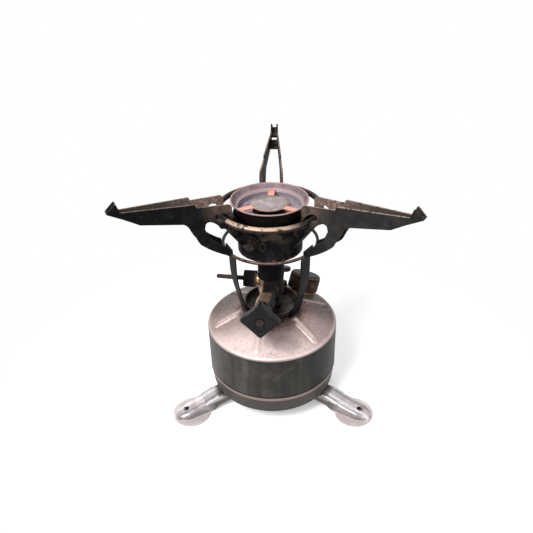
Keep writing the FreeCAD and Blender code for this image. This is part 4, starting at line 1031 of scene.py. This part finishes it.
@dataclass(frozen=True)
class Studio:
    """Pale floor, soft lamps and the camera."""

    floor_half: float = 6.0
    floor_colour: Colour = (0.86, 0.86, 0.855)
    floor_glow: float = 0.34
    surround: Colour = (0.98, 0.985, 1.0)
    surround_power: float = 0.36
    aim: Triple = (0.0, 0.0, 0.09)
    shadow_ends: Pair = (120.0, 260.0)
    camera_place: Triple = (0.01038, -0.371614, 0.353363)
    camera_turn: Triple = (58.0751, 1.2843, 1.3327)
    lens: float = 37.2007
    sensor: float = 36.0
    nearest: float = 0.01
    lamps: tuple[tuple[str, Triple, float, float], ...] = (
        ("key", (-0.45, -0.62, 0.95), 0.50, 15.0),
        ("fill", (0.80, -0.55, 0.55), 0.9, 3.0),
        ("back", (-0.10, 0.85, 0.75), 0.8, 3.5))

    def floor(self) -> None:
        """A wide floor that reads white and keeps the shadow."""
        grid = bmesh.new()
        bmesh.ops.create_grid(grid, x_segments=1, y_segments=1, size=self.floor_half)
        piece = to_object("floor", grid)
        paint = Paint("floor_white")
        diffuse = paint.node("ShaderNodeBsdfDiffuse", None, {"Color": self.floor_colour})
        glow, white = (paint.node("ShaderNodeEmission", None, {"Color": WHITE, "Strength": power})
                       for power in (self.floor_glow, 1.0))
        lit = paint.node("ShaderNodeAddShader", None, {0: diffuse, 1: glow})
        far = paint.reach().rise(*self.shadow_ends)
        lit = paint.node("ShaderNodeMixShader", None, {0: far, 1: lit, 2: white})
        paint.end(paint.node("ShaderNodeMixShader", None, {0: paint.seen(), 1: diffuse, 2: lit}))
        piece.data.materials.append(paint.owner)

    def light(self) -> None:
        """Three soft lamps and an even surround."""
        for name, place, size, power in self.lamps:
            data = bpy.data.lights.new("lamp_" + name, "AREA")
            data.shape = "DISK"
            data.size = size
            data.energy = power
            lamp = linked("lamp_" + name, data)
            turn = (Vector(self.aim) - Vector(place)).to_track_quat("-Z", "Y").to_matrix()
            lamp.matrix_world = Matrix.Translation(place) @ turn.to_4x4()
        paint = Paint(bpy.data.worlds.new("surround"))
        soft, white = (
            paint.node("ShaderNodeBackground", None, {"Color": colour, "Strength": power})
            for colour, power in ((self.surround, self.surround_power), (WHITE, 1.0)))
        paint.end(paint.node("ShaderNodeMixShader", None, {0: paint.seen(), 1: soft, 2: white}),
                  "ShaderNodeOutputWorld")
        bpy.context.scene.world = paint.owner

    def camera(self) -> None:
        """The camera, at eye height in front of the knob."""
        data = bpy.data.cameras.new("camera")
        data.lens = self.lens
        data.sensor_width = self.sensor
        data.clip_start = self.nearest
        eye = linked("camera", data)
        eye.location = self.camera_place
        eye.rotation_euler = Euler([math.radians(angle) for angle in self.camera_turn])
        bpy.context.scene.camera = eye

    def build(self) -> None:
        """Sets the whole stage."""
        self.floor()
        self.light()
        self.camera()
        bpy.context.scene.view_settings.view_transform = "Standard"


# ---------------------------------------------------------------- shared mesh work

def linked(name: str, data: bpy.types.ID) -> bpy.types.Object:
    """Makes an object and links it to the scene.

    Args:
        name: the object's name.
        data: what it shows.

    Returns:
        The object, at the origin.
    """
    piece = bpy.data.objects.new(name, data)
    bpy.context.scene.collection.objects.link(piece)
    return piece


def to_object(name: str, shape: bmesh.types.BMesh, smooth: bool = False) -> bpy.types.Object:
    """Turns a finished bmesh into an object at the origin.

    Args:
        name: the piece's name.
        shape: its mesh, which is freed.
        smooth: whether its faces are shaded smooth.

    Returns:
        The linked object.
    """
    for face in shape.faces:
        face.smooth = smooth
    mesh = bpy.data.meshes.new(name)
    shape.to_mesh(mesh)
    shape.free()
    return linked(name, mesh)


def ring(shape: bmesh.types.BMesh, spots: list[Vector]) -> list[bmesh.types.BMEdge]:
    """Adds a closed ring of corners.

    Args:
        shape: the mesh that gets it.
        spots: the corners, in millimetres.

    Returns:
        Its edges.
    """
    corners = [shape.verts.new(spot * MILLIMETRE) for spot in spots]
    return [shape.edges.new((corner, corners[index - 1])) for index, corner in enumerate(corners)]


def turned(profile: list[Pair], steps: int = 32) -> bmesh.types.BMesh:
    """Spins a closed outline about Z.

    Args:
        profile: (radius, height) corners, in millimetres.
        steps: how many sides the turned shape has.

    Returns:
        The turned mesh.
    """
    shape = bmesh.new()
    edges = ring(shape, [Vector((radius, 0.0, height)) for radius, height in profile])
    bmesh.ops.spin(shape, geom=shape.verts[:] + edges, cent=(0.0, 0.0, 0.0), axis=(0.0, 0.0, 1.0),
                   dvec=(0.0, 0.0, 0.0), angle=math.tau, steps=steps, use_merge=True)
    bmesh.ops.remove_doubles(shape, verts=shape.verts[:], dist=TOUCHING)
    bmesh.ops.recalc_face_normals(shape, faces=shape.faces[:])
    return shape


def lump(size: Triple, seed: float) -> bmesh.types.BMesh:
    """A bead of weld metal: a stretched blob with an uneven skin.

    Args:
        size: half its length, width and height, in millimetres.
        seed: shifts the unevenness.

    Returns:
        The mesh, round the origin.
    """
    grain, uneven = 1.7, 0.28
    shape = bmesh.new()
    bmesh.ops.create_icosphere(shape, subdivisions=3, radius=1.0)
    for corner in shape.verts:
        wobble = noise.noise(corner.co * grain + Vector((seed, seed * 0.7, 0.0))) - 0.5
        stretched = Vector(part * half for part, half in zip(corner.co, size))
        corner.co = stretched * (1.0 + wobble * uneven) * MILLIMETRE
    return shape


def swept(path: list[Vector], thickness: float, sides: int = 10,
          fineness: int = 6) -> bmesh.types.BMesh:
    """Draws a round wire through points, smoothed between them.

    Args:
        path: the points, in millimetres.
        thickness: the wire's radius, in millimetres.
        sides: how many sides the wire has.
        fineness: how many steps lie between two points.

    Returns:
        The wire's mesh, with closed ends.
    """
    line = []
    for index in range(len(path) - 1):
        before, start, end = path[max(index - 1, 0)], path[index], path[index + 1]
        after = path[min(index + 2, len(path) - 1)]
        for step in range(fineness):
            share = step / fineness
            line.append(0.5 * (2.0 * start + (end - before) * share
                               + (2.0 * before - 5.0 * start + 4.0 * end - after) * share ** 2
                               + (3.0 * start - before - 3.0 * end + after) * share ** 3))
    line.append(path[-1])
    shape = bmesh.new()
    rings = []
    side = Vector((0.0, 0.0, 1.0))
    for index, spot in enumerate(line):
        ahead = (line[min(index + 1, len(line) - 1)] - line[max(index - 1, 0)]).normalized()
        side = (side - ahead * side.dot(ahead)).normalized()
        rings.append(ring(shape, [
            spot + Matrix.Rotation(math.tau * turn / sides, 3, ahead) @ side * thickness
            for turn in range(sides)]))
    bmesh.ops.edgeloop_fill(shape, edges=rings[0] + rings[-1])
    for first, second in zip(rings, rings[1:]):
        bmesh.ops.bridge_loops(shape, edges=first + second)
    bmesh.ops.recalc_face_normals(shape, faces=shape.faces[:])
    return shape


def gathered(shapes: list[tuple[bmesh.types.BMesh, Matrix]]) -> bmesh.types.BMesh:
    """Puts several shapes at their places into one mesh.

    Args:
        shapes: (mesh, place) pairs; the meshes are freed.

    Returns:
        The one mesh.
    """
    whole = bmesh.new()
    for shape, place in shapes:
        shape.transform(place)
        loose = bpy.data.meshes.new("loose")
        shape.to_mesh(loose)
        shape.free()
        whole.from_mesh(loose)
        bpy.data.meshes.remove(loose)
    return whole


def seat(reach: float, azimuth: float, height: float, aside: float = 0.0) -> Matrix:
    """The matrix that carries a shape from the origin to a place; aside is left of its spoke."""
    spoke = Matrix.Rotation(math.radians(azimuth), 4, "Z")
    return spoke @ Matrix.Translation(Vector((reach, aside, height)) * MILLIMETRE)


@dataclass
class Wardrobe:
    """Keeps the finishes and puts them on nodes and pieces."""

    frame: dict
    made: dict[str, bpy.types.Material] = field(default_factory=dict)

    def finish(self, slot: str) -> bpy.types.Material:
        """Makes a slot's material when it is first asked for.

        Args:
            slot: the record's material slot.

        Returns:
            The material.
        """
        if slot not in self.made:
            self.made[slot] = FINISHES[slot].build()
        return self.made[slot]

    def dress(self, piece: bpy.types.Object, slot: str) -> None:
        """Gives a piece its slot's finish and no other."""
        piece.data.materials.clear()
        piece.data.materials.append(self.finish(slot))

    def dress_nodes(self) -> None:
        """Gives every node of the frame its slot's finish."""
        for part in self.frame["record"]["subparts"]:
            self.dress(self.frame["nodes"][part["node"]], part["material_slot"])
            LOG.info("dressed %s in %s", part["node"], part["material_slot"])

    def add(self, piece: bpy.types.Object, slot: str, body: str) -> bpy.types.Object:
        """Finishes a new piece and lets it ride.

        Args:
            piece: the new object.
            slot: the record's material slot.
            body: the body that it moves with.

        Returns:
            The same object.
        """
        self.dress(piece, slot)
        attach(piece, body)
        LOG.info("added %s on %s, %d faces", piece.name, body, len(piece.data.polygons))
        return piece


@dataclass(frozen=True)
class KnobGrip:
    """The moulded knob: a lobed head with worn edges and ringed face on a round hub."""

    hub_start: float = 35.5
    back: float = 45.5
    face: float = 53.0
    stem_end: float = 49.1
    stem: float = 2.25
    corner: float = 15.2
    waist: float = 11.3
    hollow: float = 0.7
    blunt: float = 2.2
    wear: float = 0.35
    grain: float = 0.35
    sides: int = 128

    def lobes(self, angle: float) -> float:
        """Traces the head's edge: hollow sides and blunt corners.

        Args:
            angle: where, in radians.

        Returns:
            The edge's distance from the stem's axis, in millimetres.
        """
        off = angle % (math.pi / 2.0) - math.pi / 4.0
        side = self.waist / math.cos(off) - self.hollow * math.cos(2.0 * off)
        total = math.exp(-self.blunt * side) + math.exp(-self.blunt * self.corner)
        return -math.log(total) / self.blunt

    def stations(self) -> list[Triple]:
        """The turned outline from the bore's back to its front.

        Returns:
            (distance along the stem, round radius, share of the lobed outline) corners.
        """
        hub = [(0.0, self.stem, 0.0), (0.0, 6.0, 0.0), (0.4, 6.7, 0.0), (1.2, 7.0, 0.0)]
        back = [(-1.2, 7.0, 0.0), (-0.3, 7.8, 0.0), (0.0, 8.6, 0.25), (0.0, 8.0, 0.80),
                (0.3, 8.0, 0.93), (1.1, 8.0, 1.0)]
        face = [(-2.0, 8.0, 1.0), (-0.9, 8.0, 0.96), (-0.3, 8.0, 0.88), (-0.1, 8.0, 0.72),
                (-0.2, 9.0, 0.42), (-0.5, 9.2, 0.0), (-0.1, 8.5, 0.0), (-0.1, 8.0, 0.0),
                (-0.6, 7.5, 0.0), (-0.6, 6.9, 0.0), (-0.2, 6.4, 0.0), (-0.2, 5.8, 0.0),
                (-0.7, 5.3, 0.0), (-0.5, 4.2, 0.0), (-0.6, 3.6, 0.0), (-1.4, 3.5, 0.0),
                (-1.4, 1.5, 0.0)]
        bore = [(0.0, 1.5, 0.0), (0.0, self.stem, 0.0)]
        return [(start + offset, radius, share)
                for start, corners in ((self.hub_start, hub), (self.back, back),
                                       (self.face, face), (self.stem_end, bore))
                for offset, radius, share in corners]

    def settle(self, corners: list[bmesh.types.BMVert], station: Triple) -> None:
        """Moves a ring of corners to its station, each at its own angle, and wears it.

        Args:
            corners: the ring's corners, anywhere out from the stem's axis.
            station: the ring's entry in the turned outline.
        """
        along, radius, share = station
        for corner in corners:
            angle = math.atan2(corner.co.y, corner.co.x)
            across, deep = math.cos(angle), math.sin(angle)
            reach = radius * (1.0 - share) + self.lobes(angle) * share
            worn = noise.noise(Vector((reach * across, reach * deep, along)) * self.grain)
            reach -= (0.5 + worn * 0.5) * self.wear * share
            corner.co = Vector((reach * across, reach * deep, along)) * MILLIMETRE

    def build(self) -> bpy.types.Object:
        """Extrudes the ring from station to station and back to the first, in place.

        Returns:
            The new object.
        """
        shape = bmesh.new()
        bmesh.ops.create_circle(shape, segments=self.sides, radius=self.stem * MILLIMETRE)
        first, *rest = self.stations()
        self.settle(shape.verts[:], first)
        edges = shape.edges[:]
        for station in (*rest, first):
            grown = bmesh.ops.extrude_edge_only(shape, edges=edges)["geom"]
            edges = [part for part in grown if isinstance(part, bmesh.types.BMEdge)]
            self.settle([part for part in grown if isinstance(part, bmesh.types.BMVert)], station)
        bmesh.ops.remove_doubles(shape, verts=shape.verts[:], dist=TOUCHING)
        bmesh.ops.recalc_face_normals(shape, faces=shape.faces[:])
        shape.transform(seat(0.0, VALVE_TURN, VALVE_HEIGHT)
                        @ Matrix.Rotation(math.radians(90.0), 4, "X"))
        return to_object("knob_grip", shape, smooth=True)


@dataclass(frozen=True)
class FrameWelds:
    """Beads where the ears meet the upper ring and the straps meet the lower ring.

    The rows are (reach, height, half sizes) of an upper bead and of a lower one.
    """

    spread: float = 2.3
    azimuths: tuple[float, ...] = (210.0, 330.0, 92.0)
    rows: tuple[tuple[float, float, Triple], ...] = (
        (35.8, 175.6, (0.7, 2.4, 0.9)), (35.3, 147.3, (0.6, 2.2, 0.6)))

    def build(self) -> bpy.types.Object:
        """Makes all the beads as one piece, in place.

        Returns:
            The new object.
        """
        beads = []
        for number, azimuth in enumerate(self.azimuths):
            for side in (-1.0, 1.0):
                for reach, height, size in self.rows:
                    place = seat(reach, azimuth + FRAME_TURN, height, side * self.spread)
                    beads.append((lump(size, number * 3.0 + side + height), place))
        return to_object("frame_welds", gathered(beads), smooth=True)


@dataclass(frozen=True)
class KeeperWire:
    """Thin bent wire that lies on the skirt beside the clamp screw and ends in a loop."""

    thickness: float = 0.45
    skirt_radius: float = 25.0
    flare_start: float = 158.5
    flare_slope: float = 0.353
    path: tuple[Pair, ...] = (
        (229.0, 158.6), (233.0, 161.0), (240.0, 161.3), (246.5, 160.4), (251.0, 158.2),
        (252.5, 155.5), (253.5, 152.8), (256.5, 151.0), (260.5, 151.1), (263.2, 153.4),
        (262.4, 156.0), (259.0, 157.0), (255.2, 156.0), (253.6, 154.0))

    def spots(self) -> list[Vector]:
        """Puts the path's corners on the skirt, lifted a little where the wire loops.

        Returns:
            The corners, in millimetres.
        """
        spots = []
        for number, (azimuth, height) in enumerate(self.path):
            turn = math.radians(azimuth)
            flare = max(0.0, height - self.flare_start) * self.flare_slope
            reach = self.skirt_radius + self.thickness * (1.0 + number / len(self.path)) + flare
            spots.append(Vector((reach * math.cos(turn), reach * math.sin(turn), height)))
        return spots

    def build(self) -> bpy.types.Object:
        """Makes the wire, in place."""
        return to_object("keeper_wire", swept(self.spots(), self.thickness), smooth=True)


@dataclass(frozen=True)
class CleanerRod:
    """The cleaner's thick outer rod, with a few worn threads and a rounded tip."""

    start: float = 22.05
    core_end: float = 43.55
    core: float = 1.3
    tip: float = 45.2
    radius: float = 1.85
    height: float = 109.0
    thread_start: float = 36.6
    threads: int = 6
    pitch: float = 1.15
    width: float = 0.9
    depth: float = 0.28

    def build(self) -> bpy.types.Object:
        """Makes the piece, in place.

        Returns:
            The new object.
        """
        outer, tip = self.radius, self.tip
        profile = [(self.core, self.start), (outer, self.start)]
        for number in range(self.threads):
            low = self.thread_start + number * self.pitch
            profile += [(outer, low), (outer - self.depth, low + self.width / 2.0),
                        (outer, low + self.width)]
        profile += [(outer, tip - 1.2), (outer - 0.45, tip - 0.3), (outer - 1.1, tip), (0.0, tip),
                    (0.0, self.core_end), (self.core, self.core_end)]
        rod = turned(profile, 24)
        rod.transform(seat(0.0, VALVE_TURN, self.height)
                      @ Matrix.Rotation(math.radians(-90.0), 4, "Y"))
        return to_object("cleaner_rod", rod, smooth=True)


@dataclass(frozen=True)
class LegRivets:
    """Small dimpled rivets in both flanks of one leg."""

    side: str
    along: float = 61.0
    across: float = 8.0
    height: float = 7.4
    head: tuple[Pair, ...] = (
        (0.0, 0.35), (0.45, 0.35), (0.75, 0.62), (1.15, 0.45), (1.4, -0.3), (0.0, -0.3))

    def build(self) -> bpy.types.Object:
        """Makes both rivets of the leg, in place.

        Returns:
            The new object.
        """
        heads = []
        for side in (-1.0, 1.0):
            place = seat(self.along, SIDES[self.side], self.height, side * self.across)
            heads.append((turned(list(self.head), 24),
                          place @ Matrix.Rotation(math.radians(-90.0 * side), 4, "X")))
        return to_object("leg_rivets_" + self.side, gathered(heads), smooth=True)


def add_details(wardrobe: Wardrobe) -> None:
    """Adds the pieces that the drawn nodes lack.

    Args:
        wardrobe: finishes each piece and lets it ride its body.
    """
    grip = wardrobe.add(KnobGrip().build(), "knob_black", "control_knob")
    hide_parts("control_knob")
    wardrobe.add(FrameWelds().build(), "sooty_steel", "stove")
    wardrobe.add(KeeperWire().build(), "screw_steel", "stove")
    wardrobe.add(CleanerRod().build(), "screw_steel", "cleaner_shaft")
    for side in SIDES:
        wardrobe.add(LegRivets(side).build(), "leg_steel", "leg_" + side)


def main() -> None:
    """Builds the scene round the frame."""
    logging.basicConfig(level=logging.INFO, format="%(name)s: %(message)s")
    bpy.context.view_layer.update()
    Studio().build()
    wardrobe = Wardrobe(frame)
    wardrobe.dress_nodes()
    add_details(wardrobe)


if __name__ == "__main__":
    main()
